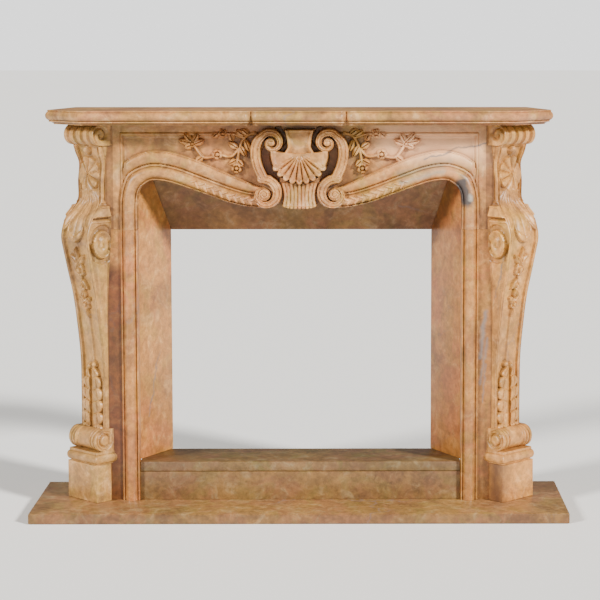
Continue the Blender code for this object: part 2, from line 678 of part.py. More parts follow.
def top_slip_bmesh():
    """The top of the splayed lining, mitred at both ends."""
    rings = []
    for y in (PANEL_BACK_Y + GAP, SLIP_BACK_Y):
        near_x, near_z = slip_section(y, 0.0)
        far_x, far_z = slip_section(y, SLIP_THICKNESS)
        rings.append([(-near_x, y, near_z + GAP), (near_x, y, near_z + GAP),
                      (far_x, y, far_z + GAP), (-far_x, y, far_z + GAP)])
    return loft_bmesh(rings)


def leg_stations():
    """Height share of the shaft, half width and projection of its face, from base to capital."""
    low, knee, neck = SHAFT_LOW_WIDTH / 2, KNEE_WIDTH / 2, NECK_WIDTH / 2
    back, front, hollow = -SHAFT_LOW_SETBACK, KNEE_PROJECTION, -NECK_SETBACK
    k = KNEE_SHARE
    upper = 1 - k
    return np.array([
        (0.0, low, back), (0.20 * k, low, back), (0.38 * k, low, 0.95 * back),
        (0.58 * k, low, 0.64 * back), (0.71 * k, low + 0.13 * (knee - low), 0.38 * back),
        (0.83 * k, low + 0.40 * (knee - low), 0.02 * back),
        (0.93 * k, low + 0.75 * (knee - low), 0.60 * front), (k, knee, front),
        (k + 0.10 * upper, knee, 0.85 * front), (k + 0.23 * upper, knee, 0.05 * front),
        (k + 0.33 * upper, 0.5 * (knee + neck), 0.50 * hollow), (k + 0.43 * upper, neck, 0.88 * hollow),
        (k + 0.62 * upper, neck, 0.90 * hollow), (k + 0.80 * upper, neck, hollow),
        (k + 0.92 * upper, neck + 0.003, 0.74 * hollow), (1.0, neck + 0.006, 0.62 * hollow),
    ])


def leg_levels():
    """Heights where the leg changes: base top, shaft foot and shaft head."""
    base_low = HEARTH_THICKNESS + PLINTH_HEIGHT + GAP
    base_top = base_low + BASE_HEIGHT
    foot = base_top + 2 * ROLL_RADIUS
    head = SHELF_UNDER - 2 * CAPITAL_RADIUS
    return base_low, base_top, foot, head


def leg_outline(z):
    """Half width and projection of the leg's face at a height, without the carving."""
    base_low, base_top, foot, head = leg_levels()
    stations = leg_stations()
    share = np.clip((z - foot) / (head - foot), 0, 1)
    smooth = curve_through(stations, 4)
    half = float(np.interp(share, smooth[:, 0], smooth[:, 1]))
    face = float(np.interp(share, smooth[:, 0], smooth[:, 2]))
    if z < base_top:
        rise = (z - base_low) / BASE_HEIGHT
        swell = BASE_TORUS * float(ridge(rise - BASE_TORUS_SHARE, BASE_TORUS_HALF_SHARE)) - BASE_INSET
        if rise > BASE_FILLET_SHARE:
            swell = -0.4 * BASE_INSET - BASE_INSET * (rise - BASE_FILLET_SHARE)
        return PLINTH_WIDTH / 2 + swell, swell
    if z <= foot:
        reach = float(ridge(z - base_top - ROLL_RADIUS, ROLL_RADIUS))
        return ROLL_WIDTH / 2, max(ROLL_RADIUS * (reach - 1), face)
    if z > head:
        reach = float(ridge(z - head - CAPITAL_RADIUS, CAPITAL_RADIUS))
        roll = CAPITAL_RADIUS * (reach - 1)
        return CAPITAL_WIDTH / 2, max(roll, face)
    return half, face


def face_carving(u, z, half):
    """Carving on the leg's front face: leaf, sunk channel, husks, knee leaves, fan and reeds."""
    _, base_top, foot, head = leg_levels()
    across = np.abs(u) / half
    if z < base_top:
        return 0.0 * u
    if z <= foot or z > head:
        return -LEG_REED * ridge(across - 0.5, 0.3)
    share = (z - foot) / (head - foot)
    border = smooth_step(1 - 1.3 * LEG_BORDER / half, 1 - 0.7 * LEG_BORDER / half, across)
    relief = -LEG_CHANNEL * (1 - border)
    if share < LEAF_SHARE:
        width = 0.80 * math.sqrt(1 - (share / LEAF_SHARE) ** 3)
        leaf = ridge(across, max(width, 0.05))
        relief = np.maximum(relief, LEG_LEAF * leaf - LEG_CHANNEL)
    for place, radius in HUSKS:
        away = np.hypot(u, z - foot - place * (head - foot))
        relief = np.maximum(relief, LEG_LEAF * ridge(away, radius) - LEG_CHANNEL)
    if KNEE_LEAF_LOW < share < KNEE_LEAF_HIGH:
        rise = (share - KNEE_LEAF_LOW) / (KNEE_LEAF_HIGH - KNEE_LEAF_LOW)
        relief = np.maximum(relief, 0.75 * LEG_LEAF * math.sin(math.pi * rise) * (1 - across**2))
    away = np.hypot(u, z - foot - FAN_SHARE * (head - foot))
    return np.maximum(relief, 0.8 * LEG_LEAF * ridge(away, FAN_RADIUS) - LEG_CHANNEL)


def side_carving(depth, z, length):
    """Carving on a side of the leg: the oval ring at the knee and the collar above it."""
    _, base_top, foot, head = leg_levels()
    if z <= foot or z > head:
        return 0.0 * depth
    knee = foot + KNEE_SHARE * (head - foot)
    oval = np.hypot((depth - 0.55 * length) / OVAL_HALF_WIDTH, (z - knee) / OVAL_HALF_HEIGHT)
    return LEG_OVAL * ridge(oval, 1.1) + LEG_COLLAR * float(ridge(z - knee - COLLAR_RISE, COLLAR_HALF))


def leg_ring(z):
    """One level of the right leg: carved face, two sides and the core behind the panel's end."""
    half, face = leg_outline(z)
    centre = np.array([LEG_CENTRE_X, LEG_CENTRE_Y])
    along = np.array([DIAGONAL, DIAGONAL])
    out = np.array([DIAGONAL, -DIAGONAL])
    offset = (PANEL_Y - GAP - LEG_CENTRE_Y) / DIAGONAL
    meet = -half - offset
    length = face - meet
    depth = np.linspace(0, 1, LEG_SIDE_STEPS + 1) * length
    fade = 1 - smooth_step(0.80, 1.0, depth / length)
    swell = side_carving(depth, z, length) * fade * smooth_step(0.0, 0.10, depth / length)
    points = [(-half - s, face - d) for s, d in zip(swell[::-1], depth[::-1])]
    u = np.linspace(-half, half, LEG_FACE_STEPS + 1)[1:-1]
    points += list(zip(u, face + face_carving(u, z, half)))
    points += [(half + s, face - d) for s, d in zip(swell, depth)]
    ring = [tuple(centre + u * along + n * out) for u, n in points]
    ring[0] = (ring[0][0], PANEL_Y - GAP)
    ring[-1] = (CHEEK_OUTER_X + GAP, ring[-1][1])
    panel_end = PANEL_END_X + GAP
    cheek_end = CHEEK_FRONT_Y - GAP
    cheek_inner = CHEEK_OUTER_X - CHEEK_THICKNESS
    ring += [(CHEEK_OUTER_X + GAP, cheek_end), (cheek_inner, cheek_end),
             (panel_end, PANEL_BACK_Y), (panel_end, PANEL_Y - GAP)]
    return [(x, y, z) for x, y in ring]


def leg_bmesh():
    """The carved console leg, from its base moulding to its scroll capital."""
    base_low, base_top, foot, head = leg_levels()
    top = SHELF_UNDER - GAP
    turn = np.linspace(0, math.pi, ROLL_LEVELS)
    levels = list(np.linspace(base_low, base_top - LEDGE, BASE_LEVELS))
    levels += list(base_top + ROLL_RADIUS * (1 - np.cos(turn)))
    levels += list(np.linspace(foot + LEDGE, head, SHAFT_LEVELS))
    capital = head + CAPITAL_RADIUS * (1 - np.cos(turn))
    levels += [min(max(z, head + LEDGE), top) for z in capital]
    return loft_bmesh([leg_ring(z) for z in levels])


def plinth_bmesh():
    """The square block under a leg, on the hearth."""
    half = PLINTH_WIDTH / 2
    along = np.array([DIAGONAL, DIAGONAL])
    out = np.array([DIAGONAL, -DIAGONAL])
    centre = np.array([LEG_CENTRE_X, LEG_CENTRE_Y])
    offset = (PANEL_Y - GAP - LEG_CENTRE_Y) / DIAGONAL
    meet = -half - offset
    outline = [tuple(centre + u * along + n * out) for u, n in (
        (-half, meet), (-half, 0.0), (half, 0.0), (half, meet))]
    outline[0] = (outline[0][0], PANEL_Y - GAP)
    outline[-1] = (CHEEK_OUTER_X + GAP, outline[-1][1])
    cheek_end = CHEEK_FRONT_Y - GAP
    outline += [(CHEEK_OUTER_X + GAP, cheek_end), (CHEEK_OUTER_X - CHEEK_THICKNESS, cheek_end),
                (PANEL_END_X + GAP, PANEL_BACK_Y), (PANEL_END_X + GAP, PANEL_Y - GAP)]
    return prism_bmesh(outline, HEARTH_THICKNESS + GAP, HEARTH_THICKNESS + PLINTH_HEIGHT)


def frieze_beds():
    """The frieze's flat ends, its top and bottom beds and its back."""
    low, high, end = JOINT_HEIGHT + GAP, SHELF_UNDER - GAP, PANEL_END_X - GAP
    return [
        (2, low, (-end, FRONT, low), (end, WALL, low)),
        (2, high, (-end, FRONT, high), (end, WALL, high)),
        (0, end, (end, FRONT, low), (end, WALL, high)),
        (1, PANEL_Y, (ARCH_HALF + MOULDING_WIDTH + FINE_STEP, PANEL_Y, low), (end, PANEL_Y, high)),
        (1, PANEL_BACK_Y, (-end, PANEL_BACK_Y, low), (end, PANEL_BACK_Y, high)),
    ]


def cheek_bmesh():
    """The plain cheek from behind a leg back to the wall."""
    return box_bmesh(
        (CHEEK_OUTER_X - CHEEK_THICKNESS, CHEEK_FRONT_Y, HEARTH_THICKNESS + GAP),
        (CHEEK_OUTER_X, WALL, SHELF_UNDER - GAP),
    )


def build():
    """Make every piece of the mantel."""
    clear_scene()
    parts = bpy.data.collections.new(NAME)
    bpy.context.scene.collection.children.link(parts)

    half = HEARTH_WIDTH / 2
    add_node(parts, "hearth_slab", box_bmesh(
        (-half, FRONT, 0.0), (half, WALL, HEARTH_THICKNESS), HEARTH_EDGE), 0.98)

    low = HEARTH_THICKNESS + GAP
    riser_y = PANEL_BACK_Y - RISER_THICKNESS + RISER_SETBACK
    clear = ARCH_HALF - GAP
    add_node(parts, "riser", box_bmesh(
        (-clear, riser_y, low), (clear, riser_y + RISER_THICKNESS, low + RISER_HEIGHT - 2 * GAP)), 0.96)
    add_node(parts, "sill_slab", box_bmesh(
        (-clear, riser_y, low + RISER_HEIGHT), (clear, SLIP_BACK_Y, SILL_TOP), SILL_EDGE), 1.02)

    add_node(parts, "slip_top", top_slip_bmesh(), 0.92)
    frieze = add_node(parts, "frieze", frieze_bmesh(), 1.0, 40)
    thin_out(frieze, FRIEZE_TRIANGLES / 2, frieze_beds())
    join_halves(frieze)
    add_node(parts, "mantel_shelf", shelf_bmesh(), 1.03, 40)

    for name, bm, shade, smooth in (
        ("slip", side_slip_bmesh(), 1.0, None),
        ("jamb", jamb_bmesh(), 1.02, 40),
        ("plinth", plinth_bmesh(), 1.04, None),
        ("leg", leg_bmesh(), 1.06, 40),
        ("side_return", cheek_bmesh(), 0.95, None),
    ):
        right = add_node(parts, name + "_right", bm, shade, smooth)
        add_twin(parts, right, name + "_left", shade)


build()
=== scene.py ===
"""Looks of a carved stone fireplace mantel: hearth, lining, jambs, frieze, console legs and shelf.

Metres, +Z up. The front faces -Y and the wall is at +Y. Each stone stands for the solid of the same name.
"""

import logging
import math
from dataclasses import dataclass
from enum import Enum
from typing import Any

import bmesh
import bpy
import numpy as np
from mathutils import Matrix, Vector


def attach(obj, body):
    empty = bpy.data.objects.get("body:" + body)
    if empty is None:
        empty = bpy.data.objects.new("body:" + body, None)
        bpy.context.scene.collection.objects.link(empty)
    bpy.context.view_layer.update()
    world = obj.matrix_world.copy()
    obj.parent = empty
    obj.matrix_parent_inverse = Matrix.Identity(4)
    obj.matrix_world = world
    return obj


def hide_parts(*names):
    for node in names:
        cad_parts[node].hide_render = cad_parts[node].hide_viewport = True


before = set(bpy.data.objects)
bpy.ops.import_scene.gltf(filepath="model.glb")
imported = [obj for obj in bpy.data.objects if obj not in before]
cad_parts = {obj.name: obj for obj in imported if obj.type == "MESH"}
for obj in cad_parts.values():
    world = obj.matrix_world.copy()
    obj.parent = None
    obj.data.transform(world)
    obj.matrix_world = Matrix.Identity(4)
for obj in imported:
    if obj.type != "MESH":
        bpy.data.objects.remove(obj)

log = logging.getLogger("mantel")
NEAR_SHARE, FAR_SHARE = 0.22, 0.62
HALF_ROOT = math.sqrt(0.5)
Grid = np.ndarray
Line = np.ndarray
Number = float | np.ndarray
Pair = tuple[float, float]
Place = tuple[float, float, float]
Colour = tuple[float, float, float]
Mesh = bmesh.types.BMesh
Socket = bpy.types.NodeSocket


@dataclass(frozen=True)
class Surround:
    """Places that several stones share."""

    joint: float = 0.0003
    wall: float = 0.210
    front: float = -0.210
    hearth_top: float = 0.030
    total_height: float = 1.200
    shelf_under: float = 1.157
    panel_y: float = -0.028
    panel_back_y: float = 0.007
    panel_end_x: float = 0.576
    joint_height: float = 0.846
    arch_half: float = 0.481
    moulding_width: float = 0.051
    sill_top: float = 0.1455
    slip_back_y: float = 0.160
    cheek_outer_x: float = 0.652
    cheek_front_y: float = 0.048
    cheek_thickness: float = 0.035


PLACES = Surround()

# Mouldings as rows of (place across, height)

ARCH_PROFILE = (
    (0.0, 0.009), (0.012, 0.012), (0.035, 0.0138), (0.055, 0.0142), (0.078, 0.0138), (0.10, 0.012),
    (0.108, 0.0085), (0.135, 0.008), (0.145, 0.0125), (0.18, 0.0165), (0.23, 0.0198), (0.30, 0.0222),
    (0.38, 0.0236), (0.47, 0.024), (0.56, 0.0236), (0.64, 0.0222), (0.71, 0.0198), (0.76, 0.0165),
    (0.795, 0.012), (0.81, 0.0075), (0.845, 0.007), (0.85, 0.0085), (0.87, 0.0095), (0.90, 0.010),
    (0.94, 0.0095), (0.965, 0.008), (0.985, 0.005), (1.0, 0.0),
)
UPPER_BAND_PROFILE = (
    (0.0, 0.006), (0.05, 0.0062), (0.07, 0.0095), (0.12, 0.0112), (0.30, 0.0142), (0.50, 0.016),
    (0.66, 0.0164), (0.78, 0.0155), (0.86, 0.0128), (0.885, 0.0105), (0.90, 0.0125), (0.94, 0.0142),
    (1.0, 0.0135),
)
FIELD_EDGE_PROFILE = (
    (-0.0125, 0.0), (-0.0115, -0.0016), (-0.0098, -0.0016), (-0.0088, 0.0010), (-0.0062, 0.0024),
    (-0.0032, 0.0016), (-0.0015, -0.0008), (-0.0010, -0.0040), (0.0030, -0.0042), (0.0060, -0.0052),
    (0.0080, -0.0072), (0.0086, -0.0086), (0.0105, -0.0086), (0.0115, -0.0070),
)


def smooth_step(low: float, high: float, value: Number) -> Number:
    """0 below low, 1 above high, with a soft change between.

    Args:
        low: where the change starts.
        high: where it ends.
        value: numbers to map.

    Returns:
        Numbers from 0 to 1.
    """
    share = np.clip((value - low) / (high - low), 0.0, 1.0)
    return share * share * (3 - 2 * share)


def ridge(distance: Number, half_width: Number) -> Number:
    """A half-round ridge.

    Args:
        distance: distance from the ridge's line.
        half_width: half its width.

    Returns:
        1 on the line and 0 at its edges.
    """
    return np.sqrt(np.clip(1 - (distance / half_width) ** 2, 0.0, 1.0))


def lay(height: Grid, target: Number, mask: Grid) -> Grid:
    """Lay a new surface over an old one where the mask is 1."""
    return height + (target - height) * mask


def curve_through(points: list[Place] | list[Pair], steps: int = 8) -> Line:
    """A smooth line through points.

    Args:
        points: rows of coordinates.
        steps: pieces between two points.

    Returns:
        Rows of coordinates along the line.
    """
    points = np.asarray(points, float)
    ends = np.vstack([2 * points[0] - points[1], points, 2 * points[-1] - points[-2]])
    share = np.linspace(0, 1, steps, endpoint=False)[:, None]
    pieces = []
    for a, b, c, d in zip(ends, ends[1:], ends[2:], ends[3:]):
        pieces.append(0.5 * (2 * b + (c - a) * share + (2 * a - 5 * b + 4 * c - d) * share**2
                             + (3 * b - a - 3 * c + d) * share**3))
    return np.vstack([*pieces, points[-1:]])


def spiral(centre: Grid, start: float, outer: float, inner: float, turn: float, steps: int = 70) -> Line:
    """A scroll's line that winds in to its eye.

    Args:
        centre: the eye.
        start: angle at which it starts, in degrees.
        outer: radius there.
        inner: radius at its end.
        turn: how far it winds, in degrees.
        steps: points on the line.

    Returns:
        Rows of coordinates along the line.
    """
    share = np.linspace(0, 1, steps)
    angle = np.radians(start + turn * share)
    radius = outer + (inner - outer) * share
    return np.stack([centre[0] + radius * np.cos(angle), centre[1] + radius * np.sin(angle)], 1)


def to_line(px: Grid, pz: Grid, line: Line) -> tuple[Grid, Grid, Grid, Grid]:
    """Nearest place on a line.

    Args:
        px: places across.
        pz: places up.
        line: rows of coordinates.

    Returns:
        Distance, share of the line's length, and the nearest point's two coordinates.
    """
    lengths = np.hypot(*np.diff(line, axis=0).T)
    reached = np.concatenate([[0], np.cumsum(lengths)]) / lengths.sum()
    best = np.full(px.shape, 1e9)
    along, near_x, near_z = np.zeros(px.shape), np.zeros(px.shape), np.zeros(px.shape)
    for i, (start, end) in enumerate(zip(line, line[1:])):
        step = end - start
        t = ((px - start[0]) * step[0] + (pz - start[1]) * step[1]) / max(step @ step, 1e-12)
        t = np.clip(t, 0, 1)
        x, z = start[0] + t * step[0], start[1] + t * step[1]
        distance = np.hypot(px - x, pz - z)
        closer = distance < best
        best = np.where(closer, distance, best)
        along = np.where(closer, reached[i] + t * (reached[i + 1] - reached[i]), along)
        near_x, near_z = np.where(closer, x, near_x), np.where(closer, z, near_z)
    return best, along, near_x, near_z


def inside(px: Grid, pz: Grid, outline: Line) -> Grid:
    """Whether each place is inside a closed outline.

    Args:
        px: places across.
        pz: places up.
        outline: rows of its corners.

    Returns:
        True where a place is inside.
    """
    found = np.zeros(px.shape, bool)
    for (x0, z0), (x1, z1) in zip(outline, np.roll(outline, -1, axis=0)):
        rise = z1 - z0 if z1 != z0 else 1e-12
        found ^= ((z0 > pz) != (z1 > pz)) & (px < x0 + (pz - z0) * (x1 - x0) / rise)
    return found


def profile_at(share: Number, table: tuple[Pair, ...]) -> Number:
    """Height of a moulding from a table of (place, height)."""
    places, heights = zip(*table)
    return np.interp(share, places, heights)


def blurred(values: Grid, reach: int) -> Grid:
    """Box mean of a grid of numbers over reach cells each way.

    Args:
        values: the grid.
        reach: how many cells each way.

    Returns:
        The blurred grid.
    """
    out = values
    for axis in (0, 1):
        padding = [(reach + 1, reach) if side == axis else (0, 0) for side in (0, 1)]
        total = np.cumsum(np.pad(out, padding, mode="edge"), axis=axis)
        size = out.shape[axis]
        ahead = np.take(total, np.arange(2 * reach + 1, 2 * reach + 1 + size), axis=axis)
        behind = np.take(total, np.arange(size), axis=axis)
        out = (ahead - behind) / (2 * reach + 1)
    return out


def hollows(height: Grid, reach: int = 5, depth: float = 0.004) -> Grid:
    """How sunk a carving is at each place, from -1 on an edge to 1 in a groove.

    Args:
        height: the carving's height at each place.
        reach: cells that count as near.
        depth: depth of a groove that counts as fully sunk.

    Returns:
        How sunk each place is.
    """
    near = (blurred(height, max(reach // 2, 1)) - height) / depth
    far = (blurred(height, 3 * reach) - height) / (3 * depth)
    return np.clip(NEAR_SHARE * near + FAR_SHARE * far, -1.0, 1.0)


# Meshes


def block(low: Place, high: Place, edge: float) -> Mesh:
    """A block with softened edges.

    Args:
        low: its lowest corner.
        high: its highest corner.
        edge: width of the softened edges.

    Returns:
        The block's mesh.
    """
    bm = bmesh.new()
    size = Vector(high) - Vector(low)
    matrix = Matrix.Translation((Vector(low) + Vector(high)) / 2) @ Matrix.Diagonal((*size, 1.0))
    bmesh.ops.create_cube(bm, size=1.0, matrix=matrix)
    soften(bm, edge, 30)
    return bm


def soften(bm: Mesh, edge: float, angle: float, segments: int = 3) -> None:
    """Round off every edge that is sharper than an angle.

    Args:
        bm: the mesh.
        edge: width of the rounding.
        angle: least angle between the faces, in degrees.
        segments: facets of the rounding.
    """
    sharp = [e for e in bm.edges if len(e.link_faces) == 2 and e.calc_face_angle() > math.radians(angle)]
    bmesh.ops.bevel(bm, geom=sharp, offset=edge, segments=segments, profile=0.5, affect="EDGES",
                    material=-1, clamp_overlap=True)


def prism(outline: list[Pair], low: float, high: float) -> Mesh:
    """An upright prism over a plan outline.

    Args:
        outline: its corners in plan.
        low: height of its foot.
        high: height of its top.

    Returns:
        The prism's mesh.
    """
    bm = bmesh.new()
    foot = bm.faces.new([bm.verts.new((x, y, low)) for x, y in outline])
    raised = bmesh.ops.extrude_face_region(bm, geom=[foot])["geom"]
    tops = [v for v in raised if isinstance(v, bmesh.types.BMVert)]
    bmesh.ops.translate(bm, verts=tops, vec=(0, 0, high - low))
    bmesh.ops.recalc_face_normals(bm, faces=bm.faces)
    return bm


def wrap_rings(rings: Grid, sunk: Grid | None = None) -> Mesh:
    """A closed skin over stacked rings, from a grid that is bent round and capped.

    Args:
        rings: places by level, by point round the ring, and by axis.
        sunk: how sunk each place is, or how much painted shade and painted highlight it gets, kept on the
            mesh as the hollow attribute.

    Returns:
        The skin's mesh.
    """
    levels, points = rings.shape[:2]
    bm = bmesh.new()
    bmesh.ops.create_grid(bm, x_segments=points, y_segments=levels - 1, size=0.5)
    hollow = bm.verts.layers.float.new("hollow")
    for vert in bm.verts:
        row = round((vert.co.y + 0.5) * (levels - 1))
        column = round((vert.co.x + 0.5) * points) % points
        vert.co = rings[row, column]
        if sunk is not None:
            vert[hollow] = sunk[row, column]
    bmesh.ops.remove_doubles(bm, verts=bm.verts, dist=1e-6)
    bmesh.ops.edgeloop_fill(bm, edges=[e for e in bm.edges if e.is_boundary])
    bmesh.ops.recalc_face_normals(bm, faces=bm.faces)
    return bm


# Finishes


class Veining(Enum):
    """How strongly a stone is veined."""

    CALM = 0.25
    MEDIUM = 0.5
    LIVELY = 0.85


class Kind(Enum):
    """The kinds of value that a shader group takes and gives."""

    NUMBER = "NodeSocketFloat"
    COLOUR = "NodeSocketColor"
    VECTOR = "NodeSocketVector"


@dataclass(frozen=True)
class Vein:
    """One vein or stain, or a patch of painted shadow, that shows on its own."""

    start: Place
    end: Place
    width: float = 0.0016
    strength: float = 0.7
    colour: Colour = (0.13, 0.12, 0.12)


@dataclass(frozen=True)
class CloudLayer:
    """One layer of clouds: its colour, its noise, and where the noise turns into cloud."""

    colour: str
    offset: Place
    scale: float
    detail: float
    roughness: float
    bend: float
    low: float
    high: float


@dataclass(frozen=True)
class VeinLayer:
    """One layer of fine veins that run all through a stone."""

    scale: float
    width: float
    share: float
    colour: Colour


CLOUD_LAYERS = (
    CloudLayer("Rose", (0.0, 0.0, 0.0), 1.0, 6, 0.60, 0.9, 0.46, 0.60),
    CloudLayer("Olive", (3.1, 7.7, 1.3), 1.5, 7, 0.64, 1.4, 0.50, 0.62),
    CloudLayer("Brown", (9.4, 2.2, 5.8), 1.1, 8, 0.66, 1.8, 0.51, 0.64),
)
VEIN_LAYERS = (
    VeinLayer(3.6, 0.016, 1.0, (0.20, 0.13, 0.10)),
    VeinLayer(9.0, 0.020, 0.6, (0.36, 0.16, 0.08)),
)


class Graph:
    """A shader tree that nodes are added to."""

    def __init__(self, tree: bpy.types.NodeTree) -> None:
        """Work on a tree."""
        self.tree = tree

    def put(self, kind: str, inputs: dict[Any, Any] | None = None, **settings: Any) -> bpy.types.Node:
        """Add a node.

        Args:
            kind: the node's type, without the word that all types start with.
            inputs: values or sockets for its inputs, by name or number.
            **settings: its own settings.

        Returns:
            The node.
        """
        node = self.tree.nodes.new("ShaderNode" + kind)
        for name, value in settings.items():
            setattr(node, name, value)
        for name, value in (inputs or {}).items():
            self.join(value, node.inputs[name])
        return node

    def join(self, value: Any, target: Socket) -> None:
        """Link a socket to an input, or set the input to a value."""
        if isinstance(value, Socket):
            self.tree.links.new(value, target)
        else:
            target.default_value = value

    def use(self, group: bpy.types.NodeTree, inputs: dict[str, Any]) -> Any:
        """Add a shader group; returns its outputs."""
        return self.put("Group", inputs, node_tree=group).outputs

    def mix(self, factor: Any, first: Any, second: Any, blend: str = "MIX") -> Socket:
        """A colour mix; returns its colour socket."""
        node = self.put("Mix", {0: factor, 6: first, 7: second}, data_type="RGBA", blend_type=blend)
        return node.outputs[2]

    def between(self, value: Any, ends: tuple[Any, Any], to: Pair = (0.0, 1.0),
                ease: str = "SMOOTHSTEP") -> Socket:
        """A map of a value from one range to another.

        Args:
            value: the value or its socket.
            ends: low and high end of the range that it comes from.
            to: what it becomes at these ends.
            ease: how it changes between them.

        Returns:
            The socket of the result.
        """
        return self.put("MapRange", {"Value": value, "From Min": ends[0], "From Max": ends[1],
                                     "To Min": to[0], "To Max": to[1]}, interpolation_type=ease).outputs[0]

    def times(self, first: Any, second: Any) -> Socket:
        """The product of two numbers; returns its socket."""
        return self.put("Math", {0: first, 1: second}, operation="MULTIPLY").outputs[0]

    def vector(self, operation: str, first: Any, second: Any) -> Socket:
        """A sum on vectors; returns its socket, which is a number for a product of dots or a distance."""
        slot = 3 if operation == "SCALE" else 1
        node = self.put("VectorMath", {0: first, slot: second}, operation=operation)
        return node.outputs[1 if operation in ("DOT_PRODUCT", "DISTANCE") else 0]

    def noise(self, place: Any, scale: Any, detail: float, roughness: float = 0.55, bend: float = 0.0) -> Any:
        """A noise texture at a place; returns its outputs, the value and the colour."""
        return self.put("TexNoise", {"Vector": place, "Scale": scale, "Detail": detail,
                                     "Roughness": roughness, "Distortion": bend}).outputs


def new_group(name: str, inputs: dict[str, Kind], outputs: dict[str, Kind]) -> tuple[Graph, Any, Any]:
    """An empty shader group.

    Args:
        name: its name.
        inputs: kind of each input, by name.
        outputs: kind of each output, by name.

    Returns:
        Its graph, the sockets that give its inputs, and the sockets that take its outputs.
    """
    tree = bpy.data.node_groups.new(name, "ShaderNodeTree")
    for way, sockets in (("INPUT", inputs), ("OUTPUT", outputs)):
        for label, kind in sockets.items():
            tree.interface.new_socket(label, in_out=way, socket_type=kind.value)
    given, result = tree.nodes.new("NodeGroupInput"), tree.nodes.new("NodeGroupOutput")
    return Graph(tree), given.outputs, result.inputs


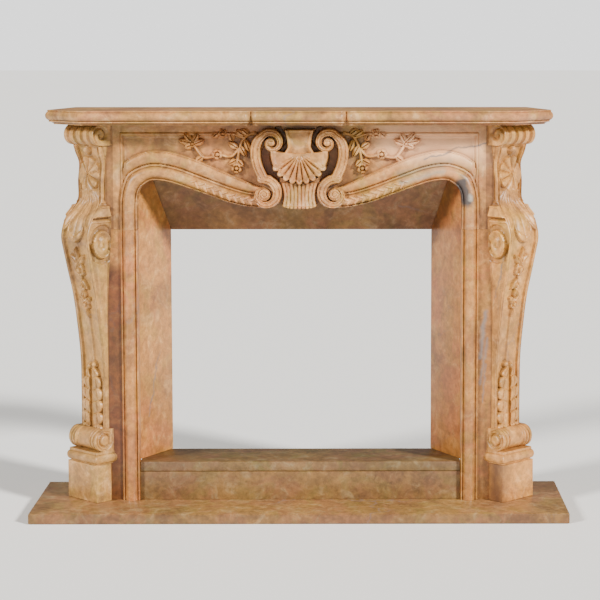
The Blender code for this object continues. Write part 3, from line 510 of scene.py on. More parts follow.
class StoneEffects:
    """The shader groups that every stone of the mantel shares."""

    flattened: Place = (1.0, 0.1, 1.0)
    vein_wander: float = 0.035
    network_wander: float = 0.22
    # Multipliers for the painted shade in hollows and the painted highlight on raised edges.
    painted_shade: tuple[float, ...] = (0.33, 0.26, 0.23, 1.0)
    painted_highlight: tuple[float, ...] = (1.35, 1.38, 1.42, 1.0)

    def __init__(self) -> None:
        """Build each group once."""
        self.clouds = self.make_clouds()
        self.network = self.make_network()
        self.vein = self.make_vein()
        self.relief = self.make_relief()

    def make_clouds(self) -> bpy.types.NodeTree:
        """Clouds of colour, mottled at three scales, with a fine grain."""
        graph, at, result = new_group("stone_clouds", {
            "Place": Kind.VECTOR, "Scale": Kind.NUMBER,
            **dict.fromkeys(("Honey", "Rose", "Olive", "Pale", "Brown"), Kind.COLOUR),
            **dict.fromkeys(("Rose Share", "Olive Share", "Brown Share"), Kind.NUMBER),
        }, {"Color": Kind.COLOUR, "Grain": Kind.NUMBER})
        colour, places = at["Honey"], {}
        for layer in CLOUD_LAYERS:
            place = places[layer.colour] = graph.vector("ADD", at["Place"], layer.offset)
            scale = graph.times(at["Scale"], layer.scale)
            cloud = graph.noise(place, scale, layer.detail, layer.roughness, layer.bend)[0]
            share = graph.times(graph.between(cloud, (layer.low, layer.high)), at[layer.colour + " Share"])
            colour = graph.mix(share, colour, at[layer.colour])
        small = graph.noise(places["Olive"], graph.times(at["Scale"], 5.5), 8, 0.68, 0.8)[0]
        broad = graph.noise(places["Brown"], 2.3, 4, 0.6, 1.2)[0]
        fine = graph.noise(places["Brown"], graph.times(at["Scale"], 16.0), 6, 0.62)[0]
        grain = graph.noise(at["Place"], 230.0, 4, 0.7)[0]
        colour = graph.mix(graph.between(small, (0.50, 0.68), (0.0, 0.55)), colour, at["Pale"])
        tone = graph.between(small, (0.32, 0.52), (0.74, 1.0))
        for texture, ends, to in ((broad, (0.34, 0.64), (0.78, 1.12)), (fine, (0.38, 0.62), (0.80, 1.08)),
                                  (grain, (0.25, 0.75), (0.90, 1.08))):
            tone = graph.times(tone, graph.between(texture, ends, to))
        grey = graph.put("CombineColor", {0: tone, 1: tone, 2: tone}).outputs[0]
        graph.join(graph.mix(1.0, colour, grey, "MULTIPLY"), result["Color"])
        graph.join(fine, result["Grain"])
        return graph.tree

    def make_network(self) -> bpy.types.NodeTree:
        """Fine broken veins that run all through a stone."""
        graph, at, result = new_group("vein_network", {
            "Place": Kind.VECTOR, **dict.fromkeys(("Scale", "Width", "Share"), Kind.NUMBER),
        }, {"Mask": Kind.NUMBER})
        wobble = graph.noise(at["Place"], 5.0, 5, 0.6)[1]
        bent = graph.vector("ADD", at["Place"], graph.vector("SCALE", wobble, self.network_wander))
        cells = graph.put("TexVoronoi", {"Vector": bent, "Scale": at["Scale"]}, feature="DISTANCE_TO_EDGE")
        thin = graph.between(cells.outputs[0], (0.0, at["Width"]), (1.0, 0.0), "LINEAR")
        broken = graph.between(graph.noise(at["Place"], 3.3, 3)[0], (0.50, 0.66))
        graph.join(graph.times(graph.times(thin, broken), at["Share"]), result["Mask"])
        return graph.tree

    def make_vein(self) -> bpy.types.NodeTree:
        """One wandering vein between two places, seen from the front."""
        graph, at, result = new_group("single_vein", {
            **dict.fromkeys(("Place", "Start", "End"), Kind.VECTOR),
            **dict.fromkeys(("Width", "Strength"), Kind.NUMBER),
        }, {"Mask": Kind.NUMBER})
        place, start, end = (graph.vector("MULTIPLY", at[label], self.flattened)
                             for label in ("Place", "Start", "End"))
        centred = graph.vector("SUBTRACT", graph.noise(at["Place"], 17.0, 4, 0.6)[1], (0.5, 0.5, 0.5))
        push = graph.vector("SCALE", graph.vector("MULTIPLY", centred, self.flattened), self.vein_wander)
        run = graph.vector("SUBTRACT", end, start)
        reach = graph.vector("SUBTRACT", graph.vector("ADD", place, push), start)
        share = graph.put("Math", {0: graph.vector("DOT_PRODUCT", reach, run),
                                   1: graph.vector("DOT_PRODUCT", run, run)},
                          operation="DIVIDE", use_clamp=True).outputs[0]
        away = graph.vector("DISTANCE", reach, graph.vector("SCALE", run, share))
        near = graph.between(away, (0.0, at["Width"]), (1.0, 0.0), "LINEAR")
        graph.join(graph.times(near, at["Strength"]), result["Mask"])
        return graph.tree

    def make_relief(self) -> bpy.types.NodeTree:
        """Painted shade in the carving's hollows, darker and redder, and painted highlight on its raised
        edges.
        """
        graph, at, result = new_group("relief_painted_shading", {
            "Color": Kind.COLOUR, **dict.fromkeys(("Hollow", "Painted Shade", "Painted Highlight"), Kind.NUMBER),
        }, {"Color": Kind.COLOUR})
        painted_shade_share = graph.times(graph.between(at["Hollow"], (0.05, 0.75)), at["Painted Shade"])
        dark = graph.mix(1.0, at["Color"], self.painted_shade, "MULTIPLY")
        colour = graph.mix(painted_shade_share, at["Color"], dark)
        painted_highlight_share = graph.times(graph.between(at["Hollow"], (-0.12, -0.70)), at["Painted Highlight"])
        pale = graph.mix(1.0, colour, self.painted_highlight, "MULTIPLY")
        graph.join(graph.mix(painted_highlight_share, colour, pale), result["Color"])
        return graph.tree


@dataclass(frozen=True)
class MarbleFinish:
    """Warm honey marble, satin, with its own place in the block and its own veins."""

    name: str
    seed: Place = (0.0, 0.0, 0.0)
    tint: Colour = (1.0, 1.0, 1.0)
    honey: Colour = (0.395, 0.180, 0.049)
    rose: Colour = (0.400, 0.150, 0.061)
    olive: Colour = (0.345, 0.200, 0.046)
    pale: Colour = (0.560, 0.335, 0.150)
    brown: Colour = (0.175, 0.077, 0.035)
    rose_share: float = 0.7
    olive_share: float = 0.55
    brown_share: float = 0.50
    scale: float = 4.0
    veining: Veining = Veining.MEDIUM
    roughness: float = 0.42
    # Strength of the painted shade in hollows and of the painted highlight on raised edges.
    painted_shade_share: float = 0.55
    painted_highlight_share: float = 0.3
    bump: float = 0.12
    bump_height: float = 0.001
    veins: tuple[Vein, ...] = ()

    def tinted(self, colour: Colour) -> tuple[float, ...]:
        """A colour of the marble in this stone's tint."""
        return *(share * part for share, part in zip(colour, self.tint)), 1.0

    def material(self, effects: StoneEffects) -> bpy.types.Material:
        """Build the finish.

        Args:
            effects: the shader groups that it uses.

        Returns:
            The material.
        """
        material = bpy.data.materials.new(self.name)
        material.use_nodes = True
        graph = Graph(material.node_tree)
        shader = material.node_tree.nodes["Principled BSDF"].inputs
        shader["Roughness"].default_value = self.roughness
        shader["Metallic"].default_value = 0.0
        real = graph.put("TexCoord").outputs["Object"]
        place = graph.put("Mapping", {"Vector": real, "Location": self.seed}).outputs[0]
        clouds = graph.use(effects.clouds, {
            "Place": place, "Scale": self.scale, "Rose Share": self.rose_share,
            "Olive Share": self.olive_share, "Brown Share": self.brown_share,
            "Honey": self.tinted(self.honey), "Rose": self.tinted(self.rose),
            "Olive": self.tinted(self.olive), "Pale": self.tinted(self.pale),
            "Brown": self.tinted(self.brown)})
        colour = clouds["Color"]
        for layer in VEIN_LAYERS:
            mask = graph.use(effects.network, {"Place": place, "Scale": layer.scale, "Width": layer.width,
                                               "Share": layer.share * self.veining.value})["Mask"]
            colour = graph.mix(mask, colour, (*layer.colour, 1.0))
        for vein in self.veins:
            mask = graph.use(effects.vein, {"Place": real, "Start": vein.start, "End": vein.end,
                                            "Width": vein.width, "Strength": vein.strength})["Mask"]
            colour = graph.mix(mask, colour, (*vein.colour, 1.0))
        # The hollow attribute lays painted shade in hollows and painted highlight on raised edges.
        hollow = graph.put("Attribute", attribute_name="hollow").outputs["Fac"]
        carved = graph.use(effects.relief, {"Color": colour, "Hollow": hollow, "Painted Shade": self.painted_shade_share,
                                            "Painted Highlight": self.painted_highlight_share})
        graph.join(carved["Color"], shader["Base Color"])
        bump = graph.put("Bump", {"Height": clouds["Grain"], "Strength": self.bump,
                                  "Distance": self.bump_height})
        graph.join(bump.outputs[0], shader["Normal"])
        return material


class Workshop:
    """Turns meshes into finished stones of the mantel."""

    def __init__(self) -> None:
        """Make the shared shader groups."""
        self.effects = StoneEffects()

    def stone(self, node: str, bm: Mesh, finish: MarbleFinish, smooth: float = 30.0) -> bpy.types.Object:
        """Make one finished stone.

        Args:
            node: the solid that it stands for.
            bm: its mesh, which is used up.
            finish: its finish.
            smooth: faces that meet at less than this many degrees are shaded as one.

        Returns:
            The stone's object.
        """
        mesh = bpy.data.meshes.new(node + "_stone")
        bm.to_mesh(mesh)
        bm.free()
        return self.dress(node, mesh, finish, smooth)

    def dress(self, node: str, mesh: bpy.types.Mesh, finish: MarbleFinish, smooth: float) -> bpy.types.Object:
        """Shade a mesh, give it its finish and put it in the mantel.

        Args:
            node: the solid that it stands for.
            mesh: the stone's mesh.
            finish: its finish.
            smooth: faces that meet at less than this many degrees are shaded as one.

        Returns:
            The stone's object.
        """
        mesh.shade_smooth()
        mesh.set_sharp_from_angle(angle=math.radians(smooth))
        mesh.materials.clear()
        mesh.materials.append(finish.material(self.effects))
        piece = bpy.data.objects.new(node + "_stone", mesh)
        bpy.context.scene.collection.objects.link(piece)
        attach(piece, "root")
        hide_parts(node)
        log.info("%s: %d faces", piece.name, len(mesh.polygons))
        return piece

    def pair(self, nodes: tuple[str, str], bm: Mesh, right: MarbleFinish, left: MarbleFinish,
             smooth: float = 30.0) -> None:
        """Make a stone on the right and its mirror image on the left.

        Args:
            nodes: the solids that they stand for, the right one first.
            bm: the right one's mesh, which is used up.
            right: the right one's finish.
            left: the left one's finish.
            smooth: faces that meet at less than this many degrees are shaded as one.
        """
        made = self.stone(nodes[0], bm, right, smooth)
        mesh = made.data.copy()
        mesh.name = nodes[1] + "_stone"
        mesh.transform(Matrix.Scale(-1, 4, (1, 0, 0)))
        mesh.flip_normals()
        self.dress(nodes[1], mesh, left, smooth)


# Plain stones


@dataclass
class Hearth:
    """The slab on the floor, the riser on it and the sill over that."""

    width: float = 1.58
    thickness: float = 0.030
    edge: float = 0.003
    riser_height: float = 0.0855
    riser_thickness: float = 0.040
    riser_y: float = -0.029
    riser_edge: float = 0.001
    front_painted_shade: float = 0.9

    def build(self, workshop: Workshop) -> None:
        """Make the three stones."""
        half, clear = self.width / 2, PLACES.arch_half - PLACES.joint
        slab = block((-half, PLACES.front, 0.0), (half, PLACES.wall, self.thickness), self.edge)
        # Painted shade on the slab's front face, making it darker than the top.
        hollow = slab.verts.layers.float.new("hollow")
        for vert in slab.verts:
            if vert.co.y < PLACES.front + self.edge / 4:
                vert[hollow] = self.front_painted_shade
        workshop.stone("hearth_slab", slab, MarbleFinish(
            "hearth_marble", (4.2, 1.1, 0.3), tint=(0.68, 0.78, 0.80),
            veining=Veining.LIVELY, roughness=0.34))
        low = self.thickness + PLACES.joint
        top = low + self.riser_height
        back = self.riser_y + self.riser_thickness
        riser = block((-clear, self.riser_y, low), (clear, back, top - 2 * PLACES.joint), self.riser_edge)
        workshop.stone("riser", riser, MarbleFinish(
            "riser_marble", (1.7, 5.2, 2.0), tint=(0.40, 0.44, 0.44)))
        sill = block((-clear, self.riser_y, top), (clear, PLACES.slip_back_y, PLACES.sill_top), self.edge)
        workshop.stone("sill_slab", sill, MarbleFinish(
            "sill_marble", (6.1, 0.4, 3.0), tint=(0.38, 0.48, 0.56), olive_share=0.7))


@dataclass
class Lining:
    """The three splayed slips round the opening."""

    insert_width: float = 0.796
    insert_height: float = 0.681
    splay: float = 0.0845
    rise: float = 0.293
    thickness: float = 0.022
    edge: float = 0.0008

    def section(self, y: float, offset: float) -> Pair:
        """Half width and height of the lining at a depth, moved out by an offset."""
        share = (PLACES.slip_back_y - y) / (PLACES.slip_back_y - PLACES.panel_back_y)
        half = self.insert_width / 2 + self.splay * share
        return half + offset, PLACES.sill_top + self.insert_height + self.rise * share + offset

    def slab(self, sections: list[list[Place]]) -> Mesh:
        """A slab between a front and a back section of four corners each."""
        bm = wrap_rings(np.array(sections))
        soften(bm, self.edge, 20, 2)
        return bm

    def build(self, workshop: Workshop) -> None:
        """Make the side slips and the top one."""
        gap = PLACES.joint
        foot = PLACES.sill_top + gap
        side, top = [], []
        for y in (PLACES.panel_back_y + gap, PLACES.slip_back_y):
            near_x, near_z = self.section(y, gap)
            far_x, far_z = self.section(y, self.thickness)
            side.append([(near_x, y, foot), (far_x, y, foot), (far_x, y, far_z - gap),
                         (near_x, y, near_z - gap)])
            near_x, near_z = self.section(y, 0.0)
            top.append([(-near_x, y, near_z + gap), (near_x, y, near_z + gap), (far_x, y, far_z + gap),
                        (-far_x, y, far_z + gap)])
        # The right slip's darker tint and the left slip's paler tint are painted shade and painted light: one
        # stone drawn shaded on the right and lit on the left.
        workshop.pair(
            ("slip_right", "slip_left"), self.slab(side),
            MarbleFinish("right_slip_marble", (2.3, 8.0, 0.7), tint=(0.78, 0.66, 0.50), veining=Veining.CALM),
            MarbleFinish("left_slip_marble", (0.9, 3.0, 5.7), tint=(1.14, 1.04, 0.84), veining=Veining.CALM,
                         veins=(Vein((-0.427, 0.08, 0.47), (-0.462, 0.05, 0.27), 0.0030, 0.8),)))
        workshop.stone("slip_top", self.slab(top), MarbleFinish(
            "top_slip_marble", (7.3, 2.0, 1.7), tint=(0.58, 0.62, 0.72),
            veins=(Vein((0.30, 0.1, 0.905), (0.42, 0.08, 0.875), 0.006, 0.6),)))


@dataclass
class Jambs:
    """The moulded jambs with the plain panels behind the legs."""

    samples: int = 64
    painted_shade_levels: Pair = (0.66, 0.78)
    panel_share: float = 0.995

    def build(self, workshop: Workshop) -> None:
        """Make both jambs."""
        gap, inner, width = PLACES.joint, PLACES.arch_half, PLACES.moulding_width
        outline = [(inner, PLACES.panel_back_y)]
        outline += [(inner + width * share, PLACES.panel_y - float(profile_at(share, ARCH_PROFILE)))
                    for share in np.linspace(0, 1, self.samples)]
        end = PLACES.panel_end_x - gap
        outline += [(end, PLACES.panel_y), (end, PLACES.panel_back_y)]
        bm = prism(outline, PLACES.hearth_top + gap, PLACES.joint_height - gap)
        low, high = self.painted_shade_levels
        for level in self.painted_shade_levels:
            bmesh.ops.bisect_plane(bm, geom=bm.verts[:] + bm.edges[:] + bm.faces[:], dist=1e-6,
                                   plane_co=(0, 0, level), plane_no=(0, 0, 1))
        # Painted shadow on the plain panel strip behind the leg, full below the lower level and fading out by
        # the upper one.
        hollow = bm.verts.layers.float.new("hollow")
        for vert in bm.verts:
            painted_shade = float(smooth_step(high + gap, low - gap, vert.co.z))
            vert[hollow] = painted_shade * (vert.co.x > inner + self.panel_share * width)
        grey = (0.20, 0.19, 0.19)
        # The left jamb's panel strip takes far stronger painted shadow than the right one's.
        workshop.pair(
            ("jamb_right", "jamb_left"), bm,
            MarbleFinish("right_jamb_marble", (3.3, 6.0, 2.7), tint=(0.98, 0.88, 0.70), painted_shade_share=0.42, veins=(
                Vein((0.556, -0.028, 0.60), (0.538, -0.028, 0.46), 0.010, 0.75, grey),
                Vein((0.562, -0.028, 0.52), (0.538, -0.028, 0.38), 0.007, 0.6, grey),
                Vein((0.556, -0.028, 0.44), (0.545, -0.028, 0.33), 0.005, 0.5, grey))),
            MarbleFinish("left_jamb_marble", (8.1, 2.6, 4.4), tint=(1.0, 0.90, 0.72), painted_shade_share=1.35))


@dataclass
class SideReturns:
    """The plain cheeks from behind the legs back to the wall."""

    edge: float = 0.001

    def build(self, workshop: Workshop) -> None:
        """Make both cheeks."""
        low = (PLACES.cheek_outer_x - PLACES.cheek_thickness, PLACES.cheek_front_y,
               PLACES.hearth_top + PLACES.joint)
        high = (PLACES.cheek_outer_x, PLACES.wall, PLACES.shelf_under - PLACES.joint)
        workshop.pair(("side_return_right", "side_return_left"), block(low, high, self.edge),
                      MarbleFinish("right_return_marble", (5.5, 0.2, 6.3)),
                      MarbleFinish("left_return_marble", (1.5, 7.2, 0.3)))


@dataclass
class MantelShelf:
    """The moulded shelf with two breaks in its front edge."""

    half_width: float = 0.75
    front_y: float = -0.135
    cant: float = 0.110
    taper: float = 0.050
    torus: float = 0.014
    top_edge: float = 0.003
    step: float = 0.0235
    lip: float = 0.010
    break_x: float = 0.139
    break_depth: float = 0.018
    break_reach: float = 0.016
    line_painted_shade: float = 0.9
    lip_painted_highlight: float = 1.7

    def profile(self) -> list[Pair]:
        """Inset from the nose and height, from the middle of the top down to the underside."""
        top, under, torus = PLACES.total_height, PLACES.shelf_under, self.torus
        points = [(0.6 * torus + 0.002, top)]
        for angle in np.radians(np.linspace(90, 0, 5)):
            points.append((0.6 * torus - self.top_edge * math.cos(angle),
                           top - self.top_edge * (1 - math.sin(angle))))
        middle = top - self.top_edge - torus
        for angle in np.radians(np.linspace(60, -90, 26)):
            points.append((torus * (1 - math.cos(angle)), middle + torus * math.sin(angle)))
        third = (middle - torus - under) / 3
        lip, step = self.lip, self.step
        points += [(lip - 0.001, middle - torus), (lip, middle - torus - 0.0006),
                   (lip, under + 2 * third), (lip + 0.0015, under + 2 * third - 0.0004)]
        for share in np.linspace(0, 1, 6):
            points.append((lip + 0.002 + (step - lip - 0.004) * share,
                           under + 2 * third - third * (1 - math.cos(share * math.pi / 2))))
        return points + [(step - 0.001, under + third), (step, under + 0.85 * third),
                         (step, under + 0.0006), (2 * step, under)]

    def plan(self) -> list[tuple[Pair, Pair]]:
        """Right half of the plan, each place with its way inwards."""
        tangent = math.tan(math.radians(22.5))
        half, front = self.half_width, self.front_y
        points = [((half - self.taper, PLACES.wall), (-1.0, 0.0)),
                  ((half, front + self.cant), (-1.0, tangent)),
                  ((half - self.cant, front), (-tangent, 1.0))]
        for share in np.concatenate([np.linspace(1, 0.25, 9), [0.12, 0.0, -0.12], np.linspace(-0.25, -1, 9)]):
            depth = self.break_depth * (1 - abs(share)) ** 1.7
            points.append(((self.break_x + share * self.break_reach, front + depth), (0.0, 1.0)))
        return points

    def sunk(self, inset: float, z: float) -> float:
        """Painted shade on the recessed lines under the nose, and painted highlight, as a negative value, on
        the lip and step fillets.
        """
        nose = PLACES.total_height - self.top_edge - 2 * self.torus
        return (self.line_painted_shade * (z < nose + 0.002) * (inset > 0.003)
                - self.lip_painted_highlight * (z < nose) * (inset in (self.lip, self.step)))

    def build(self, workshop: Workshop) -> None:
        """Make the shelf."""
        right, rows = self.plan(), self.profile()[::-1]
        plan = right + [((-x, y), (-way[0], way[1])) for (x, y), way in reversed(right)]
        rings = [[(x + inset * way[0], y + inset * way[1], z) for (x, y), way in plan] for inset, z in rows]
        sunk = np.repeat(np.array([self.sunk(*row) for row in rows])[:, None], len(plan), axis=1)
        workshop.stone("mantel_shelf", wrap_rings(np.array(rings), sunk), MarbleFinish(
            "shelf_marble", (2.9, 4.1, 7.5), tint=(1.0, 1.06, 1.15), veining=Veining.LIVELY), 34)


# Frieze


@dataclass
class Frieze:
    """The carved lintel: arch bands, scrolls, shell, pendant, flower sprays and garland."""

    grid: float = 0.0019
    field_level: float = -0.007
    field_side: float = 0.520
    field_top: float = 1.123
    band_overlap: float = 0.010
    band_fade: float = 0.022
    band_edge: float = 0.0010
    ground: float = 0.009
    ground_half: float = 0.110
    scroll: float = 0.034
    scroll_line: float = 0.0042
    scroll_dip: float = 0.002
    scroll_floor: float = 0.014
    upper_halves: Pair = (0.0150, 0.0062)
    lower_halves: Pair = (0.0140, 0.0060)
    curl_radius: float = 0.020
    eye_reach: Pair = (0.0112, 0.0095)
    eye_radius: float = 0.0125
    volute: float = 0.031
    volute_reach: Pair = (0.0195, 0.0180)
    volute_pitch: float = 0.0075
    shell: float = 0.040
    shell_radius: float = 0.090
    flutes: int = 9
    shell_spread: float = 66.0
    flute_depth: Pair = (0.0035, 0.0105)
    neck_half: float = 0.0345
    hinge: float = 1.071
    neck_top: float = 1.143
    pendant_half: float = 0.053
    pendant: float = 0.027
    pendant_rib: float = 0.006
    pendant_top: float = 0.979
    pendant_foot: float = 0.908
    flower: float = 0.018
    stem_half: float = 0.0046
    leaf_half: float = 0.0105
    rib_half: float = 0.0014
    husks_in_all: int = 17
    husk_length: float = 0.0165
    husk_reach: float = 0.0125
    husk_half: float = 0.0046
    husk: Pair = (0.0200, 0.0095)
    snap: float = 1.6
    hollow: float = -0.014
    hollow_reach: Pair = (0.0150, 0.0125)
    painted_shade_columns: int = 13

    def __post_init__(self) -> None:
        """Draw the lines of the right half."""
        arch = [(0.481, 0.846), (0.481, 0.886), (0.4805, 0.921), (0.476, 0.959), (0.457, 0.9815),
                (0.4315, 0.9925), (0.386, 0.9875), (0.3285, 0.969), (0.271, 0.9485), (0.2135, 0.9275),
                (0.156, 0.9143), (0.110, 0.910)]
        self.inner = curve_through(arch, 8)
        self.edge = curve_through(arch + [(0.0756, 0.916), (0.0585, 0.925), (0.046, 0.915), (0.022, 0.9095),
                                          (0.0, 0.908)], 8)
        self.second = curve_through([
            (0.532, 0.846), (0.532, 0.891), (0.5295, 0.946), (0.516, 0.9976), (0.497, 1.020),
            (0.4624, 1.0355), (0.4243, 1.0412), (0.3666, 1.0316), (0.3024, 1.0086), (0.2134, 0.975),
            (0.156, 0.958), (0.110, 0.952)], 8)
        self.outer = curve_through([
            (0.5197, 1.043), (0.4816, 1.0678), (0.4243, 1.0791), (0.3666, 1.0717), (0.3024, 1.0508),
            (0.2336, 1.0215), (0.1561, 0.9875), (0.110, 0.970)], 8)
        back = [(0.108, 1.000), (0.123, 1.033), (0.130, 1.070), (0.124, 1.105), (0.101, 1.130)]
        self.upper_eye = np.array((0.082, 1.103))
        top = np.array(back[-1]) - self.upper_eye
        self.upper_line = np.vstack([curve_through(back, 8)[:-1], spiral(
            self.upper_eye, math.degrees(math.atan2(top[1], top[0])), math.hypot(*top), 0.007, 420)])
        self.lower_eye = np.array((0.104, 0.9505))
        self.lower_line = spiral(self.lower_eye, 80, 0.047, 0.012, 400)
        self.garland = curve_through([(0.318, 0.988), (0.250, 0.9625), (0.190, 0.942), (0.128, 0.930)], 40)
        self.stems = [curve_through(points, 6) for points in (
            [(0.132, 1.134), (0.160, 1.120), (0.176, 1.090), (0.186, 1.036)],
            [(0.163, 1.118), (0.193, 1.128), (0.222, 1.130)],
            [(0.178, 1.086), (0.203, 1.062), (0.238, 1.068)],
            [(0.250, 1.062), (0.285, 1.060), (0.312, 1.096)])]
        self.flowers = [(0.186, 1.027, 0.017), (0.226, 1.131, 0.015), (0.243, 1.068, 0.017),
                        (0.316, 1.100, 0.013)]
        self.leaves = [
            ((0.318, 1.102), (0.356, 1.110)), ((0.316, 1.104), (0.340, 1.131)),
            ((0.314, 1.104), (0.300, 1.130)), ((0.312, 1.098), (0.282, 1.110)),
            ((0.318, 1.096), (0.338, 1.088)), ((0.285, 1.062), (0.308, 1.046)),
            ((0.160, 1.112), (0.146, 1.076)), ((0.176, 1.094), (0.157, 1.062)),
            ((0.182, 1.086), (0.208, 1.103)), ((0.205, 1.129), (0.196, 1.108)),
            ((0.185, 1.051), (0.166, 1.034)), ((0.186, 1.051), (0.208, 1.040)),
            ((0.163, 1.126), (0.186, 1.140)), ((0.150, 1.128), (0.170, 1.143)),
            ((0.240, 1.132), (0.256, 1.120))]
        self.deep = curve_through([(0.062, 1.138), (0.052, 1.108), (0.096, 1.081), (0.098, 1.036),
                                   (0.070, 0.998)], 8)

    def leaf(self, px: Grid, pz: Grid, start: Pair, end: Pair, width: float, lift: float) -> Grid:
        """Height of one pointed leaf with a sunk middle rib, from its start to its tip.

        Args:
            px: places across, from the middle.
            pz: places up.
            start: where it starts.
            end: its tip.
            width: half its width.
            lift: its height.

        Returns:
            Its height at each place, 0 outside it.
        """
        distance, along, _, _ = to_line(px, pz, np.array([start, end], float))
        half = width * np.sin(np.pi * np.clip(0.06 + 0.92 * along, 0.0, 0.985)) ** 0.7
        rib = 1 - 0.45 * ridge(distance, self.rib_half)
        return lift * ridge(distance, half) ** 0.8 * rib * (0.75 + 0.25 * along)

    def rosette(self, px: Grid, pz: Grid, place: Place, lift: float) -> Grid:
        """Height of a flower with five cupped petals round a button.

        Args:
            px: places across, from the middle.
            pz: places up.
            place: its middle and its radius.
            lift: its height.

        Returns:
            Its height at each place, 0 outside it.
        """
        x, z, radius = place
        away, angle = np.hypot(px - x, pz - z), np.arctan2(pz - z, px - x)
        petal = 0.80 + 0.20 * np.abs(np.cos(2.5 * angle + 0.4))
        cup = ridge(away, radius * petal) * (0.72 + 0.28 * smooth_step(0.2, 0.8, away / radius))
        crease = 1 - 0.5 * smooth_step(0.35, 0.0, np.abs(np.cos(2.5 * angle + 0.4))) * (away > 0.3 * radius)
        button = 0.95 * ridge(away, 0.34 * radius)
        ring = 1 - 0.6 * ridge(away - 0.42 * radius, 0.12 * radius)
        return lift * np.maximum(cup * crease * ring, button)

    def scroll_band(self, px: Grid, pz: Grid, line: Line, eye: Grid, thick: float,
                    thin: float) -> tuple[Grid, Grid]:
        """A raised scroll with a sunk middle line.

        Args:
            px: places across.
            pz: places up.
            line: its middle line.
            eye: the middle of its curl.
            thick: half its width at the start.
            thin: half its width in the curl.

        Returns:
            Its height, and a mask of where it is.
        """
        distance, along, _, _ = to_line(px, pz, line)
        half = thick + (thin - thick) * smooth_step(0.30, 0.95, along)
        body = self.scroll * (0.66 + 0.34 * ridge(distance, 1.05 * half))
        body = body - self.scroll_line * ridge(distance - 0.42 * half, 0.17 * half)
        body = body - self.scroll_dip * ridge(distance + 0.1 * half, 0.3 * half)
        mask = smooth_step(0.0008, -0.0012, distance - half)
        away = np.hypot(px - eye[0], pz - eye[1])
        eye_mask = smooth_step(*self.eye_reach, away)
        boss = self.scroll * (0.60 + 0.36 * ridge(away, self.eye_radius))
        return np.where(eye_mask > mask, boss, body), np.maximum(mask, eye_mask)

    def fan(self, px: Grid, pz: Grid) -> tuple[Grid, Grid]:
        """The fluted shell with its neck.

        Args:
            px: places across, from the middle.
            pz: places up.

        Returns:
            Its height, and a mask of where it is.
        """
        dx, dz = px / self.shell_radius, (self.hinge - pz) / self.shell_radius
        radius, angle = np.hypot(dx, dz), np.degrees(np.arctan2(dx, dz))
        spread = self.shell_spread
        phase = (np.clip(angle, -spread, spread) + spread) / (2 * spread) * self.flutes
        fluted = smooth_step(spread, spread - 3.0, np.abs(angle))
        wave = 1 - (1 - np.abs(np.sin(np.pi * phase))) * fluted
        rim = 0.90 + 0.11 * wave ** 0.8 * fluted + 0.04 * (1 - fluted)
        body = self.shell * (0.60 + 0.34 * smooth_step(0.05, 0.62, radius)
                             - 0.16 * smooth_step(0.72, 1.05, radius))
        least, more = self.flute_depth
        depth = least + more * smooth_step(0.15, 0.55, radius) * smooth_step(1.05, 0.80, radius)
        height = body - depth * (1 - wave ** 0.75) + 0.003 * ridge(radius - rim + 0.055, 0.055)
        height = height - 0.0050 * (1 - fluted) * ridge(radius - 0.60, 0.22)
        outer = smooth_step(0.55, 0.75, radius) * smooth_step(0.97, 0.9, radius)
        height = height - 0.003 * ridge(wave - 0.97, 0.12) * outer
        mask = smooth_step(0.012, -0.010, radius - rim) * smooth_step(97.0, 95.0, np.abs(angle))
        share = (pz - self.hinge) / (self.neck_top - self.hinge)
        half = (self.neck_half + 0.0175 * np.clip(share - 0.35, 0, 1) ** 1.4
                + 0.060 * np.clip(0.30 - share, 0, 1) ** 1.3)
        edge = half - np.abs(px)
        plate = (0.74 * self.shell + 0.006 * ridge(edge - 0.0055, 0.0055)
                 - 0.0035 * smooth_step(0.011, 0.018, edge))
        plate = (plate + 0.004 * ridge(self.neck_top - pz - 0.004, 0.004)
                 - 0.006 * smooth_step(0.5, 0.0, share))
        neck = (smooth_step(-0.0008, 0.0010, edge) * smooth_step(-0.10, -0.02, share)
                * smooth_step(1.01, 0.99, share))
        joined = np.where(neck > 0.01, np.maximum(plate, np.where(mask > 0.5, height, -1.0)), height)
        return joined, np.maximum(mask, neck)

    def bell(self, px: Grid, pz: Grid) -> tuple[Grid, Grid]:
        """The ribbed pendant under the shell.

        Args:
            px: places across, from the middle.
            pz: places up.

        Returns:
            Its height, and a mask of where it is.
        """
        fall = (self.pendant_top - pz) / (self.pendant_top - self.pendant_foot)
        wide = self.pendant_half * (1 - 0.11 * np.sin(np.pi * np.clip(fall, 0, 1)))
        ribs = np.abs(np.sin(4.5 * np.pi * (px / wide + 1)))
        lift = self.pendant * (0.70 + 0.30 * np.clip(fall, 0, 1) ** 2)
        lift = lift + self.pendant_rib * (ribs ** 0.7 - 0.6)
        foot = 0.93 + 0.05 * ribs
        lift = lift + 0.003 * ridge(fall - foot + 0.04, 0.05)
        mask = smooth_step(-0.0006, 0.0010, wide - np.abs(px)) * smooth_step(-0.12, -0.06, fall)
        return lift, mask * smooth_step(0.02, -0.02, fall - foot - 0.045)

